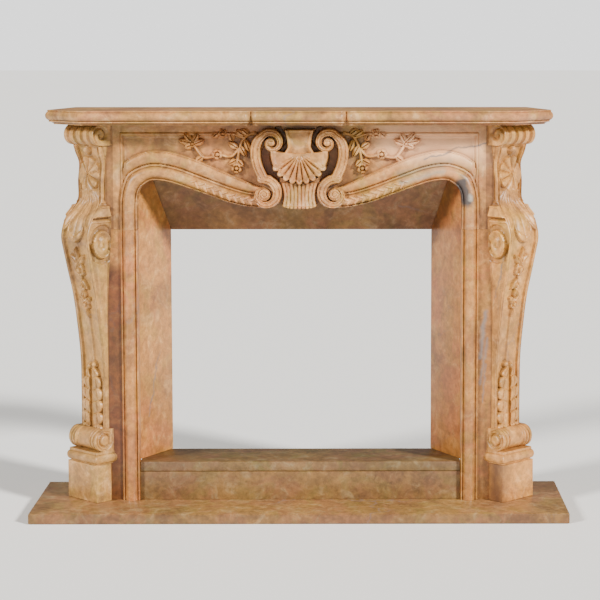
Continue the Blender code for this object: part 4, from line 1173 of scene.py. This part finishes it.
    def carve(self, px: Grid, pz: Grid) -> Grid:
        """Projection of the carving from the panel plane.

        Args:
            px: places across, from the middle.
            pz: places up.

        Returns:
            The projection at each place.
        """
        into = np.minimum(self.field_side - px, self.field_top - pz)
        height = profile_at(into, FIELD_EDGE_PROFILE)
        inner = to_line(px, pz, self.inner)[0]
        second = to_line(px, pz, self.second)[0]
        outer = to_line(px, pz, self.outer)[0]
        lower_band = inside(px, pz, np.vstack([self.inner, self.second[::-1]]))
        upper_band = inside(px, pz, np.vstack([self.second, self.outer[::-1]]))
        band = profile_at(second / np.maximum(outer + second, 1e-9), UPPER_BAND_PROFILE)
        end = self.field_side + self.band_overlap
        fade = smooth_step(0.0, self.band_fade, end - px)
        signed = np.where(upper_band | lower_band, outer, -outer)
        mask = smooth_step(-self.band_edge, self.band_edge, signed) * fade
        mask = mask * (upper_band | (signed > -1.2 * self.band_edge) & ~lower_band)
        height = lay(height, band, mask * (px < end))
        moulding = profile_at(inner / np.maximum(inner + second, 1e-9), ARCH_PROFILE)
        height = np.where(lower_band, moulding, height)
        beneath = (px < self.ground_half) & (pz < self.pendant_top + 0.02) & ~lower_band
        height = np.where(beneath, self.ground, height)
        low = self.field_level
        for stem in self.stems:
            distance = to_line(px, pz, stem)[0]
            height = np.maximum(height, low + 0.70 * self.flower * ridge(distance, self.stem_half))
        for start, end in self.leaves:
            blade = self.leaf(px, pz, start, end, self.leaf_half, 1.05 * self.flower)
            height = np.maximum(height, low + blade)
        for place in self.flowers:
            height = np.maximum(height, low + self.rosette(px, pz, place, 1.20 * self.flower))
        height = self.husks(px, pz, height)
        fan, fan_mask = self.fan(px, pz)
        scrolls = [self.scroll_band(px, pz, self.upper_line, self.upper_eye, *self.upper_halves),
                   self.scroll_band(px, pz, self.lower_line, self.lower_eye, *self.lower_halves)]
        deep = to_line(px, pz, self.deep)[0]
        height = lay(height, self.hollow, smooth_step(*self.hollow_reach, deep))
        curl = np.hypot(px - self.upper_eye[0], pz - self.upper_eye[1])
        height = np.where(curl < self.curl_radius, np.maximum(height, self.scroll_floor), height)
        for body, mask in scrolls[::-1]:
            height = np.where(mask > 0, np.maximum(height, lay(height, body, mask)), height)
        height = self.button(px, pz, height)
        bell, bell_mask = self.bell(px, pz)
        height = lay(height, bell, bell_mask)
        return np.where(fan_mask > 0, np.maximum(height, lay(height, fan, fan_mask)), height)

    def button(self, px: Grid, pz: Grid, height: Grid) -> Grid:
        """The round button with a spiral in the lower scroll's curl, laid on the height.

        Args:
            px: places across, from the middle.
            pz: places up.
            height: the carving so far.

        Returns:
            The carving with the button on it.
        """
        x, z = self.lower_eye
        away, angle = np.hypot(px - x, pz - z), np.arctan2(pz - z, px - x)
        turns = np.abs(((away / self.volute_pitch + angle / (2 * np.pi)) % 1.0) - 0.5) * 2
        line = 0.004 * smooth_step(0.35, 0.0, turns) * (away > 0.003)
        return lay(height, self.volute - line - 0.0035 * (away / 0.019) ** 2,
                   smooth_step(*self.volute_reach, away))

    def husks(self, px: Grid, pz: Grid, height: Grid) -> Grid:
        """Slanting husk leaves in pairs along the lower band, laid on the height.

        Args:
            px: places across, from the middle.
            pz: places up.
            height: the carving so far.

        Returns:
            The carving with the leaves on it.
        """
        for i in range(self.husks_in_all):
            share = i / self.husks_in_all
            at = int(share * (len(self.garland) - 3))
            here, ahead = self.garland[at], self.garland[at + 2]
            run = (ahead - here) / np.hypot(*(ahead - here))
            across = np.array([-run[1], run[0]]) * (1 if i % 2 else -1)
            size = 1.0 - 0.25 * abs(share - 0.5)
            tip = here + size * (self.husk_length * run + self.husk_reach * across)
            distance, along, _, _ = to_line(px, pz, np.array([here, tip]))
            half = self.husk_half * np.sin(np.pi * np.clip(0.10 + 0.86 * along, 0.0, 0.97)) ** 0.6
            leaf = ridge(distance, half)
            lift = self.husk[0] + self.husk[1] * leaf * (0.7 + 0.3 * along)
            height = np.where(leaf > 0, np.maximum(height, lift), height)
        return height

    def sheet(self, low: float, high: float, end: float) -> Mesh:
        """A fine upright grid over the right half, with the opening under the arch cut out.

        Args:
            low: height of its foot.
            high: height of its top.
            end: how far it reaches from the middle.

        Returns:
            The grid's mesh, with the opening's rim on the arch line.
        """
        bm = bmesh.new()
        columns, rows = round(end / self.grid), round((high - low) / self.grid)
        bmesh.ops.create_grid(bm, x_segments=columns, y_segments=rows, size=0.5)
        bmesh.ops.transform(bm, verts=bm.verts, matrix=(
            Matrix.Translation((end / 2, 0.0, (low + high) / 2))
            @ Matrix.Rotation(math.pi / 2, 4, "X") @ Matrix.Diagonal((end, high - low, 1.0, 1.0))))
        foot = (self.edge[0][0], 0.0)
        opening = np.vstack([self.edge, [(-0.01, self.edge[-1][1]), (-0.01, 0.0), foot]])
        centres = np.array([face.calc_center_median() for face in bm.faces])
        gone = inside(centres[:, 0], centres[:, 2], opening)
        cut = [face for face, out in zip(list(bm.faces), gone) if out]
        bmesh.ops.delete(bm, geom=cut, context="FACES")
        rim = [v for v in bm.verts if v.is_boundary and v.co.x < PLACES.arch_half + 2 * self.grid
               and v.co.z < high - self.grid]
        rim_x, rim_z = np.array([(v.co.x, v.co.z) for v in rim]).T
        distance, _, near_x, near_z = to_line(rim_x, rim_z, self.edge)
        for vert, away, to_x, to_z in zip(rim, distance, near_x, near_z):
            if away < self.snap * self.grid:
                vert.co.z = low if abs(vert.co.z - low) < PLACES.joint else max(to_z, low)
                vert.co.x = max(to_x, 0.0) if vert.co.x > PLACES.joint else 0.0
        bmesh.ops.remove_doubles(bm, verts=bm.verts, dist=0.00015)
        return bm

    def close(self, bm: Mesh) -> None:
        """Give a carved sheet its depth, its mirror image on the left and its back."""
        border = [e for e in bm.edges if e.is_boundary and not all(abs(v.co.x) < 1e-6 for v in e.verts)]
        grown = bmesh.ops.extrude_edge_only(bm, edges=border)["geom"]
        for vert in (v for v in grown if isinstance(v, bmesh.types.BMVert)):
            vert.co.y = PLACES.panel_back_y
        bmesh.ops.mirror(bm, geom=bm.verts[:] + bm.edges[:] + bm.faces[:], merge_dist=1e-5, axis="X")
        bmesh.ops.remove_doubles(bm, verts=[v for v in bm.verts if abs(v.co.x) < 1e-4], dist=2e-5)
        bmesh.ops.edgeloop_fill(bm, edges=[e for e in bm.edges if e.is_boundary])
        bmesh.ops.recalc_face_normals(bm, faces=bm.faces)

    def build(self, workshop: Workshop) -> None:
        """Make the frieze from a fine grid for the right half and its mirror image."""
        low, high = PLACES.joint_height + PLACES.joint, PLACES.shelf_under - PLACES.joint
        end = PLACES.panel_end_x - PLACES.joint
        columns, rows = round(end / self.grid), round((high - low) / self.grid)
        xs, zs = np.meshgrid(np.linspace(0, end, columns + 1), np.linspace(low, high, rows + 1))
        # Painted shade in the carving's hollows and painted highlight on its raised edges, with a full strip
        # of painted shadow along the end beside the leg.
        painted_shading = hollows(self.carve(xs, zs))
        painted_shading[:, -self.painted_shade_columns:] = 1.0
        bm = self.sheet(low, high, end)
        places = np.array([v.co for v in bm.verts])
        hollow = bm.verts.layers.float.new("hollow")
        step_x, step_z = end / columns, (high - low) / rows
        for vert, lift in zip(bm.verts, self.carve(places[:, 0], places[:, 2])):
            column, row = round(vert.co.x / step_x), round((vert.co.z - low) / step_z)
            vert.co.y = PLACES.panel_y - lift
            vert[hollow] = painted_shading[min(row, rows), min(column, columns)]
        self.close(bm)
        workshop.stone("frieze", bm, MarbleFinish(
            "frieze_marble", (5.0, 3.7, 1.2), rose_share=0.45, olive_share=0.75, painted_shade_share=0.62,
            veins=(Vein((0.27, -0.02, 1.115), (0.50, -0.02, 1.085), 0.085, 0.85, (0.88, 0.52, 0.29)),
                   Vein((0.37, -0.04, 1.055), (0.56, -0.028, 1.105), 0.0042, 0.95),
                   Vein((0.30, -0.04, 1.010), (0.44, -0.04, 1.045), 0.018, 0.50, (0.27, 0.27, 0.19)),
                   Vein((0.30, -0.045, 0.985), (0.42, -0.045, 1.020), 0.012, 0.55, (0.25, 0.26, 0.20)),
                   Vein((0.480, -0.045, 0.985), (0.494, -0.045, 0.930), 0.026, 1.8, (0.06, 0.045, 0.04)),
                   Vein((0.506, -0.045, 0.944), (0.506, -0.045, 0.934), 0.010, 0.70, (0.42, 0.37, 0.30)),
                   )), 38)


# Legs


@dataclass
class ConsoleLegs:
    """The plinth blocks and the carved console legs, set at 45 degrees to the wall."""

    centre: Pair = (0.654, -0.030)
    plinth_width: float = 0.140
    plinth_height: float = 0.1125
    base_height: float = 0.0385
    base_torus: float = 0.009
    base_inset: float = 0.006
    roll_radius: float = 0.033
    roll_width: float = 0.132
    capital_radius: float = 0.031
    capital_width: float = 0.140
    low_width: float = 0.114
    low_setback: float = 0.044
    knee_width: float = 0.132
    knee_projection: float = 0.018
    knee_share: float = 0.669
    neck_width: float = 0.110
    neck_setback: float = 0.045
    channel: float = 0.0075
    neck_channel: float = 0.0025
    neck_starts: Pair = (0.885, 0.920)
    channel_ends: Pair = (1.096, 1.088)
    border: float = 0.012
    leaf: float = 0.014
    inner_edge: float = 0.567
    acanthus_top: float = 0.430
    acanthus_lobes: float = 5.0
    knee_hub: float = 0.985
    knee_reach: float = 0.122
    knee_lobe: float = 0.042
    knee_vein: float = 0.0032
    knee_curl: float = 0.0050
    knee_hollow: float = 0.0095
    scallop_hub: Pair = (0.020, 1.008)
    scallop_size: Pair = (0.066, 0.056)
    ball: Place = (0.002, 1.081, 0.0135)
    medallion: float = 0.803
    medallion_size: Pair = (0.0316, 0.0415)
    medallion_share: float = 0.60
    medallion_rim: float = 0.0070
    medallion_line: float = 0.0048
    moat_size: Pair = (0.0480, 0.0600)
    moat: float = 0.0065
    panel_depth: float = 0.0080
    collar: Pair = (0.884, 0.916)
    collar_depth: float = 0.0115
    corner: float = 0.0016
    plinth_edge: float = 0.0012
    base_levels: int = 36
    roll_levels: int = 34
    shaft_levels: int = 326
    level_gap: float = 0.0004
    face_steps: int = 96
    side_steps: int = 26
    painted_shade_columns: int = 3

    def __post_init__(self) -> None:
        """Work out the heights where the leg changes and the lines of its shaft."""
        self.base_low = PLACES.hearth_top + self.plinth_height + PLACES.joint
        self.base_top = self.base_low + self.base_height
        self.foot = self.base_top + 2 * self.roll_radius
        self.head = PLACES.shelf_under - 2 * self.capital_radius
        low, knee, neck = self.low_width / 2, self.knee_width / 2, self.neck_width / 2
        back, front, sunk = -self.low_setback, self.knee_projection, -self.neck_setback
        k = self.knee_share
        upper = 1 - k
        self.stations = curve_through([
            (0.0, low, back), (0.20 * k, low, back), (0.38 * k, low, 0.95 * back),
            (0.58 * k, low, 0.64 * back), (0.71 * k, low + 0.13 * (knee - low), 0.38 * back),
            (0.83 * k, low + 0.40 * (knee - low), 0.02 * back),
            (0.93 * k, low + 0.75 * (knee - low), 0.60 * front), (k, knee, front),
            (k + 0.10 * upper, knee, 0.85 * front), (k + 0.23 * upper, knee, 0.05 * front),
            (k + 0.33 * upper, 0.5 * (knee + neck), 0.50 * sunk), (k + 0.43 * upper, neck, 0.88 * sunk),
            (k + 0.62 * upper, neck, 0.90 * sunk), (k + 0.80 * upper, neck, sunk),
            (k + 0.92 * upper, neck + 0.003, 0.74 * sunk), (1.0, neck + 0.006, 0.62 * sunk)], 10)
        self.buds = ((0.0, 0.725, 0.022), (0.0, 0.676, 0.014), (0.0, 0.620, 0.017))
        self.hanging = (((0.0, 0.742), (-0.030, 0.770), 0.0105), ((0.0, 0.742), (0.030, 0.770), 0.0105),
                        ((0.0, 0.742), (0.004, 0.792), 0.0095), ((0.0, 0.698), (-0.022, 0.668), 0.0090),
                        ((0.0, 0.664), (0.016, 0.642), 0.0080), ((0.0, 0.664), (-0.003, 0.640), 0.0075),
                        ((0.0, 0.628), (-0.024, 0.642), 0.0080), ((0.0, 0.628), (0.024, 0.642), 0.0080),
                        ((0.0, 0.606), (-0.006, 0.580), 0.0065))

    def outline(self, z: float) -> Pair:
        """Half width and projection of the plain leg at a height.

        Args:
            z: the height.

        Returns:
            Half the width, and how far the face stands out from the plinth's.
        """
        share = min(max((z - self.foot) / (self.head - self.foot), 0.0), 1.0)
        half = float(np.interp(share, self.stations[:, 0], self.stations[:, 1]))
        face = float(np.interp(share, self.stations[:, 0], self.stations[:, 2]))
        if z < self.base_top:
            rise = (z - self.base_low) / self.base_height
            swell = self.base_torus * float(ridge(rise - 0.44, 0.36)) - self.base_inset
            if rise > 0.80:
                swell = -0.4 * self.base_inset - self.base_inset * (rise - 0.80)
            return self.plinth_width / 2 + swell, swell
        if z <= self.foot:
            reach = float(ridge(z - self.base_top - self.roll_radius, self.roll_radius))
            return self.roll_width / 2, max(self.roll_radius * (reach - 1), face)
        if z > self.head:
            reach = float(ridge(z - self.head - self.capital_radius, self.capital_radius))
            return self.capital_width / 2, max(self.capital_radius * (reach - 1), face)
        return half, face

    def acanthus(self, u: Grid, z: Grid, half: float) -> Grid:
        """The leaf at the foot of the shaft, two rows of overlapping lobes beside a plain stem.

        Args:
            u: places across the face.
            z: their heights.
            half: half the face's width.

        Returns:
            Its height at each place, 0 outside it.
        """
        rise = (z - self.foot) / (self.acanthus_top - self.foot)
        across = np.abs(u)
        part = (self.acanthus_lobes * rise - 9.0 * across) % 1.0
        crown = ridge(part - 0.45, 0.62)
        reach = (half - 0.011) * (0.70 + 0.30 * np.sqrt(np.clip(1 - (2 * part - 0.9) ** 2, 0, 1)))
        reach = reach * np.sqrt(np.clip(1.04 - np.clip(rise, 0, 1) ** 4, 0, 1))
        swell = ridge(across - 0.58 * reach, 0.62 * reach)
        body = self.leaf * (0.42 + 0.52 * swell * crown + 0.42 * part)
        body = body - 0.0035 * ridge(across - 0.62 * reach, 0.0026) * (part > 0.15) * (part < 0.85)
        body = np.where(across < 0.0085, 0.40 * self.leaf, body)
        mask = smooth_step(0.0006, -0.0010, across - reach) * (rise > 0) * (rise < 1.02)
        lift = body * mask
        for x, height, radius in ((-0.010, 0.437, 0.011), (0.012, 0.431, 0.010)):
            lift = np.maximum(lift, 1.15 * self.leaf * ridge(np.hypot(u - x, z - height), radius))
        return lift

    def flower(self, u: Grid, z: Grid, x: float, level: float, radius: float) -> Grid:
        """A small round flower with five petals and a sunk ring round its button.

        Args:
            u: places across the face.
            z: their heights.
            x: its middle across the face.
            level: its middle's height.
            radius: its radius.

        Returns:
            Its height at each place, 0 outside it.
        """
        away, angle = np.hypot(u - x, z - level), np.arctan2(z - level, u - x)
        petal = 0.76 + 0.24 * np.abs(np.cos(2.5 * angle + 9 * x))
        cup = ridge(away, radius * petal) ** 0.7
        return self.leaf * cup * (1 - 0.55 * ridge(away - 0.48 * radius, 0.17 * radius))

    def pendants(self, u: Grid, z: Grid) -> Grid:
        """The chain of flowers, buds and leaves that hangs on a stem in the channel.

        Args:
            u: places across the face.
            z: their heights.

        Returns:
            Its height at each place, 0 outside it.
        """
        lift = 0.42 * self.leaf * ridge(u + 0.003, 0.0042) * (z > 0.44) * (z < 0.60)
        lift = np.maximum(lift, 0.5 * self.leaf * ridge(u, 0.0030) * (z > 0.58) * (z < 0.74))
        for start, end, width in self.hanging:
            distance, along, _, _ = to_line(u, z, np.array([start, end]))
            blade = ridge(distance, width * np.sin(np.pi * (0.08 + 0.86 * along)))
            lift = np.maximum(lift, 0.85 * self.leaf * blade * (1 - 0.4 * ridge(distance, 0.0012)))
        for x, level, radius in self.buds:
            lift = np.maximum(lift, self.flower(u, z, x, level, radius))
        return lift

    def knee_leaf(self, u: Grid, z: Grid, half: float) -> Grid:
        """The leaf that spreads over the knee, with fine veins and a lobed lower edge.

        Args:
            u: places across the face.
            z: their heights.
            half: half the face's width.

        Returns:
            Its height at each place, 0 outside it.
        """
        angle = np.arctan2(u, self.knee_hub - z)
        away = np.hypot(1.15 * u, self.knee_hub - z)
        lobes = np.abs(np.cos(5.5 * angle))
        limit = self.knee_reach + self.knee_lobe * lobes ** 0.6 + 0.012 * np.cos(angle)
        mask = smooth_step(0.0025, -0.0020, away - limit) * smooth_step(0.974, 0.962, z + 0.2 * np.abs(u))
        veins = self.knee_vein * np.abs(np.sin(16.5 * angle)) ** 0.5
        curl = self.knee_curl * ridge(away - limit + 0.009, 0.011)
        hollow = self.knee_hollow * (1 - lobes ** 0.5) * smooth_step(0.03, 0.09, away)
        body = 0.50 * self.leaf + veins + curl - hollow
        return mask * body * smooth_step(0.99, 0.84, np.abs(u) / half)

    def scallop(self, u: Grid, z: Grid) -> Grid:
        """The rayed scallop in the hollow over the knee, and the ball above it.

        Args:
            u: places across the face.
            z: their heights.

        Returns:
            Their height at each place, 0 outside them.
        """
        (x, level), (width, height) = self.scallop_hub, self.scallop_size
        dx, dz = (x - u) / width, (z - level) / height
        away, angle = np.hypot(dx, dz), np.arctan2(dz, dx)
        rays = 1 - (1 - np.abs(np.cos(5.5 * angle + 0.3)) ** 0.7) * smooth_step(2.2, 1.8, np.abs(angle))
        edge = 0.88 + 0.12 * rays - 0.45 * smooth_step(1.4, 2.4, np.abs(angle))
        shell = (0.55 + 0.45 * smooth_step(0.0, 0.7, away)) * (0.20 + 0.80 * rays)
        lift = 0.92 * self.leaf * shell * smooth_step(0.03, -0.05, away - edge)
        x, level, radius = self.ball
        return np.maximum(lift, 1.25 * self.leaf * ridge(np.hypot(u - x, z - level), radius))

    def face(self, u: Grid, z: float, half: float) -> Grid:
        """Carving on the front face.

        Args:
            u: places across the face.
            z: height.
            half: half the face's width there.

        Returns:
            Projection from the plain face.
        """
        across = np.abs(u) / half
        corner = -self.corner * smooth_step(0.955, 1.0, across) ** 2
        if z < self.base_top:
            return corner
        if z <= self.foot:
            return (corner - 0.0065 * smooth_step(0.52, 0.44, across) - 0.0050 * ridge(across - 0.60, 0.05)
                    - 0.0045 * ridge(across - 0.80, 0.04))
        if z > self.head:
            return corner - 0.0095 * ridge(across - 0.24, 0.11) - 0.0090 * ridge(across - 0.68, 0.10)
        place = np.full(u.shape, z)
        edge = half - np.abs(u)
        upper = float(smooth_step(*self.neck_starts, z))
        depth = self.channel + self.neck_channel * upper
        relief = -depth * smooth_step(0.86 * self.border, 1.10 * self.border, edge)
        groove = (0.0020 + 0.0045 * upper) * ridge(edge - 0.42 * self.border, 0.0018 + 0.0016 * upper)
        relief = relief - groove + corner
        fade = float(smooth_step(*self.channel_ends, z))
        parts = np.maximum.reduce([self.acanthus(u, place, half), self.pendants(u, place),
                                   self.knee_leaf(u, place, half), self.scallop(u, place)])
        return np.maximum(relief, np.where(parts > 0.0002, parts - depth, -1.0)) * max(fade, 0.25)

    def disc(self, n: Grid, z: float, level: float, radius: float) -> Grid:
        """The end of a roll: a spiral on the capital, and rings round a button on the lower roll.

        Args:
            n: places out from the plinth's face.
            z: height.
            level: height of the roll's middle.
            radius: the roll's radius.

        Returns:
            Projection from the plain side.
        """
        away = np.hypot(n + 1.06 * radius, z - level) / radius
        if level > self.head:
            turn = np.arctan2(z - level, n + 1.06 * radius) / (2 * np.pi)
            line = np.abs(((1.25 * away + turn + 0.35) % 1.0) - 0.5) * 2
            return -0.0070 * smooth_step(0.60, 0.15, line) * smooth_step(0.93, 0.87, away) * (away > 0.16)
        ring = -0.0065 * ridge(away - 0.56, 0.10) - 0.0035 * ridge(away - 0.84, 0.06)
        return ring + 0.0025 * ridge(away, 0.46)

    def side(self, depth: Grid, n: Grid, z: float, length: float) -> Grid:
        """Carving on a side of the leg.

        Args:
            depth: places back from the face.
            n: the same places from the plinth's face.
            z: height.
            length: depth of the side at this height.

        Returns:
            Projection from the plain side.
        """
        if z < self.base_top:
            return 0.0 * depth
        for level, radius in ((self.base_top + self.roll_radius, self.roll_radius),
                              (self.head + self.capital_radius, self.capital_radius)):
            if abs(z - level) < radius:
                return self.disc(n, z, level, radius)
        share = depth / length
        across, rise = (share - self.medallion_share) * length, z - self.medallion
        x, y = across / self.medallion_size[0], rise / self.medallion_size[1]
        oval, turn = np.hypot(x, y), np.arctan2(y, x) / (2 * np.pi)
        spiral_line = np.abs(((oval * 1.6 + turn + 0.3) % 1.0) - 0.5) * 2
        relief = self.medallion_rim * smooth_step(1.03, 0.97, oval) - 0.0040 * smooth_step(0.90, 0.80, oval)
        relief = relief + 0.0026 * ridge(oval, 0.80)
        relief = relief - self.medallion_line * smooth_step(0.55, 0.0, spiral_line) * (oval < 0.80)
        round_it = np.hypot(across / self.moat_size[0], rise / self.moat_size[1])
        moat = smooth_step(1.0, 0.95, round_it) * smooth_step(1.0, 1.04, oval)
        shaft = smooth_step(0.10, 0.14, share) * smooth_step(0.34, 0.22, share)
        below = float(smooth_step(-0.24, -0.02, rise) * smooth_step(0.01, -0.01, rise))
        relief = relief - self.moat * moat
        relief = relief - self.panel_depth * shaft * below * smooth_step(0.98, 1.04, oval)
        low, high = self.collar
        collar = float(smooth_step(low - 0.002, low + 0.001, z) * smooth_step(high + 0.002, high - 0.001, z))
        under = float(ridge(z - low + 0.005, 0.004))
        lip = float(ridge(z - high + 0.003, 0.003) + ridge(z - high - 0.010, 0.003)
                    + ridge(z - low + 0.014, 0.004))
        relief = relief + self.collar_depth * collar + 0.003 * lip - 0.0065 * under
        neck = float(smooth_step(high, high + 0.02, z))
        rim = 0.0025 * ridge(depth - 0.006, 0.006) - 0.0040 * ridge(depth - 0.016, 0.004)
        return relief + neck * rim

    def meet(self, half: float) -> float:
        """Where the side of a leg of this half width meets the panel, from the plinth's face."""
        return -half - (PLACES.panel_y - PLACES.joint - self.centre[1]) / HALF_ROOT

    def turned(self, u: Number, n: Number) -> tuple[Number, Number]:
        """Plan places of points across and out from the plinth's face, which stands at 45 degrees."""
        return self.centre[0] + HALF_ROOT * (u + n), self.centre[1] + HALF_ROOT * (u - n)

    def core(self) -> list[Pair]:
        """Plan corners behind the leg, round the cheek's front and the panel's end."""
        gap = PLACES.joint
        cheek, front, end = PLACES.cheek_outer_x + gap, PLACES.cheek_front_y - gap, PLACES.panel_end_x + gap
        return [(cheek, front), (cheek - PLACES.cheek_thickness, front), (end, PLACES.panel_back_y),
                (end, PLACES.panel_y - gap)]

    def ring(self, z: float) -> tuple[Grid, Grid]:
        """One level of the right leg.

        Args:
            z: its height.

        Returns:
            The ring's places, and the relief at each.
        """
        half, face = self.outline(z)
        length = face - self.meet(half)
        depth = np.linspace(0, 1, self.side_steps + 1) ** 1.15 * length
        fade = (1 - smooth_step(0.93, 1.0, depth / length)) * smooth_step(0.0, 0.05, depth / length)
        swell = self.side(depth, face - depth, z, length) * fade
        u = np.linspace(-half, half, self.face_steps + 1)[1:-1]
        front = self.face(u, z, half)
        us = np.concatenate([-half - swell[::-1], u, half + swell])
        ns = np.concatenate([(face - depth)[::-1], face + front, face - depth])
        ns[self.side_steps] -= self.corner
        ns[self.side_steps + self.face_steps] -= self.corner
        xs, ys = self.turned(us, ns)
        ys[0], xs[-1] = PLACES.panel_y - PLACES.joint, PLACES.cheek_outer_x + PLACES.joint
        places = np.vstack([np.stack([xs, ys], 1), self.core()])
        relief = np.concatenate([swell[::-1], front, swell, np.zeros(4)])
        return np.column_stack([places, np.full(len(places), z)]), relief

    def leg(self) -> Mesh:
        """The right leg, from its base moulding to its capital."""
        top = PLACES.shelf_under - PLACES.joint
        step = self.level_gap
        turn = np.linspace(0, math.pi, self.roll_levels)
        levels = [np.linspace(self.base_low, self.base_top - step, self.base_levels),
                  self.base_top + self.roll_radius * (1 - np.cos(turn)),
                  np.linspace(self.foot + step, self.head, self.shaft_levels),
                  np.clip(self.head + self.capital_radius * (1 - np.cos(turn)), self.head + step, top)]
        rings, reliefs = zip(*(self.ring(float(z)) for z in np.concatenate(levels)))
        # Painted shade in the carving's hollows and painted highlight on its raised edges, with a line of
        # painted shade down the side's inner end where it meets the panel.
        sunk = hollows(np.array(reliefs), 4, 0.003)
        sunk[:, :self.painted_shade_columns] = 1.0
        return wrap_rings(np.array(rings), sunk)

    def plinth(self) -> Mesh:
        """The block under the right leg."""
        half, gap = self.plinth_width / 2, PLACES.joint
        meet = self.meet(half)
        corners = [self.turned(u, n) for u, n in ((-half, meet), (-half, 0.0), (half, 0.0), (half, meet))]
        corners[0] = (self.inner_edge, corners[0][1] - (self.inner_edge - corners[0][0]))
        corners.insert(0, (self.inner_edge, PLACES.panel_y - gap))
        corners[-1] = (PLACES.cheek_outer_x + gap, corners[-1][1])
        bm = prism(corners + self.core(), PLACES.hearth_top + gap, PLACES.hearth_top + self.plinth_height)
        soften(bm, self.plinth_edge, 30)
        return bm

    def build(self, workshop: Workshop) -> None:
        """Make both plinths and both legs."""
        olive = dict(honey=(0.400, 0.206, 0.055), rose=(0.400, 0.176, 0.060),
                     olive_share=0.8, rose_share=0.35)
        # A broad dark patch of painted shadow low on the right plinth's inner side.
        painted_shading = Vein((0.585, -0.07, 0.03), (0.585, -0.07, 0.15), 0.055, 0.95, (0.10, 0.042, 0.018))
        vein = Vein((0.604, -0.07, 0.765), (0.574, -0.05, 0.60), 0.0028, 0.85, (0.13, 0.11, 0.10))
        # The right plinth's and right leg's paler tints, set against the untinted left ones, are painted
        # light on the right side.
        workshop.pair(
            ("plinth_right", "plinth_left"), self.plinth(),
            MarbleFinish("right_plinth_marble", (0.7, 4.8, 2.2), tint=(1.42, 1.22, 0.98),
                         veins=(painted_shading,), **olive),
            MarbleFinish("left_plinth_marble", (9.1, 1.6, 3.4), **olive))
        workshop.pair(
            ("leg_right", "leg_left"), self.leg(),
            MarbleFinish("right_leg_marble", (6.6, 2.2, 8.1), tint=(1.24, 1.12, 0.98),
                         veins=(vein,), **olive),
            MarbleFinish("left_leg_marble", (3.8, 9.3, 0.6), **olive), 40)


# Studio


@dataclass(frozen=True)
class Lamp:
    """A far lamp: the way to it, its power, and how wide it looks in degrees."""

    name: str
    way: Place
    power: float
    spread: float
    colour: Colour = (1.0, 0.97, 0.92)


@dataclass
class Studio:
    """Plain pale floor and sky, a soft lamp on each side, and the camera."""

    camera_at: Place = (0.142, -5.748, 1.410)
    yaw: float = 0.37
    pitch: float = 5.56
    lens: float = 116.2
    sensor: float = 36.0
    shift: Pair = (-0.100, -0.122)
    floor_size: float = 160.0
    floor_drop: float = 0.001
    floor_colour: Colour = (0.88, 0.88, 0.87)
    floor_roughness: float = 0.9
    sky_seen: float = 1.72
    sky_light: float = 0.21
    lamps: tuple[Lamp, ...] = (Lamp("right_lamp", (0.76, -0.66, 0.50), 6.9, 7.0),
                               Lamp("left_lamp", (-0.76, -0.64, 0.44), 5.0, 10.0))

    def build(self) -> None:
        """Make the floor, the lights and the camera."""
        bm = bmesh.new()
        bmesh.ops.create_grid(bm, x_segments=1, y_segments=1, size=self.floor_size / 2)
        mesh = bpy.data.meshes.new("floor")
        bm.to_mesh(mesh)
        bm.free()
        floor = bpy.data.objects.new("floor", mesh)
        floor.location.z = -self.floor_drop
        material = bpy.data.materials.new("pale_floor")
        material.use_nodes = True
        shader = material.node_tree.nodes["Principled BSDF"].inputs
        shader["Base Color"].default_value = (*self.floor_colour, 1.0)
        shader["Roughness"].default_value = self.floor_roughness
        mesh.materials.append(material)
        bpy.context.scene.collection.objects.link(floor)
        self.lights()
        self.camera()

    def lights(self) -> None:
        """A weak sky and a lamp on each side, the right one stronger."""
        world = bpy.data.worlds.new("studio_sky")
        bpy.context.scene.world = world
        world.use_nodes = True
        graph = Graph(world.node_tree)
        sky = world.node_tree.nodes["Background"].inputs
        seen = graph.put("LightPath").outputs["Is Camera Ray"]
        strength = graph.between(seen, (0.0, 1.0), (self.sky_light, self.sky_seen), "LINEAR")
        graph.join(strength, sky["Strength"])
        sky["Color"].default_value = (1.0, 1.0, 1.0, 1.0)
        for lamp in self.lamps:
            data = bpy.data.lights.new(lamp.name, "SUN")
            data.energy, data.angle, data.color = lamp.power, math.radians(lamp.spread), lamp.colour
            placed = bpy.data.objects.new(lamp.name, data)
            placed.rotation_euler = Vector(lamp.way).to_track_quat("Z", "Y").to_euler()
            bpy.context.scene.collection.objects.link(placed)

    def camera(self) -> None:
        """The camera at the photograph's viewing angle."""
        data = bpy.data.cameras.new("camera")
        data.lens, data.sensor_width = self.lens, self.sensor
        data.shift_x, data.shift_y = self.shift
        camera = bpy.data.objects.new("camera", data)
        camera.location = self.camera_at
        camera.rotation_euler = (math.radians(90 - self.pitch), 0.0, math.radians(-self.yaw))
        bpy.context.scene.collection.objects.link(camera)
        bpy.context.scene.camera = camera


def main() -> None:
    """Build every stone, then the studio."""
    logging.basicConfig(level=logging.INFO, format="%(message)s")
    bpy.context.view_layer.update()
    workshop = Workshop()
    for part in (Hearth(), Lining(), Jambs(), SideReturns(), MantelShelf(), Frieze(), ConsoleLegs()):
        part.build(workshop)
        log.info("%s done", type(part).__name__)
    Studio().build()


if __name__ == "__main__":
    main()
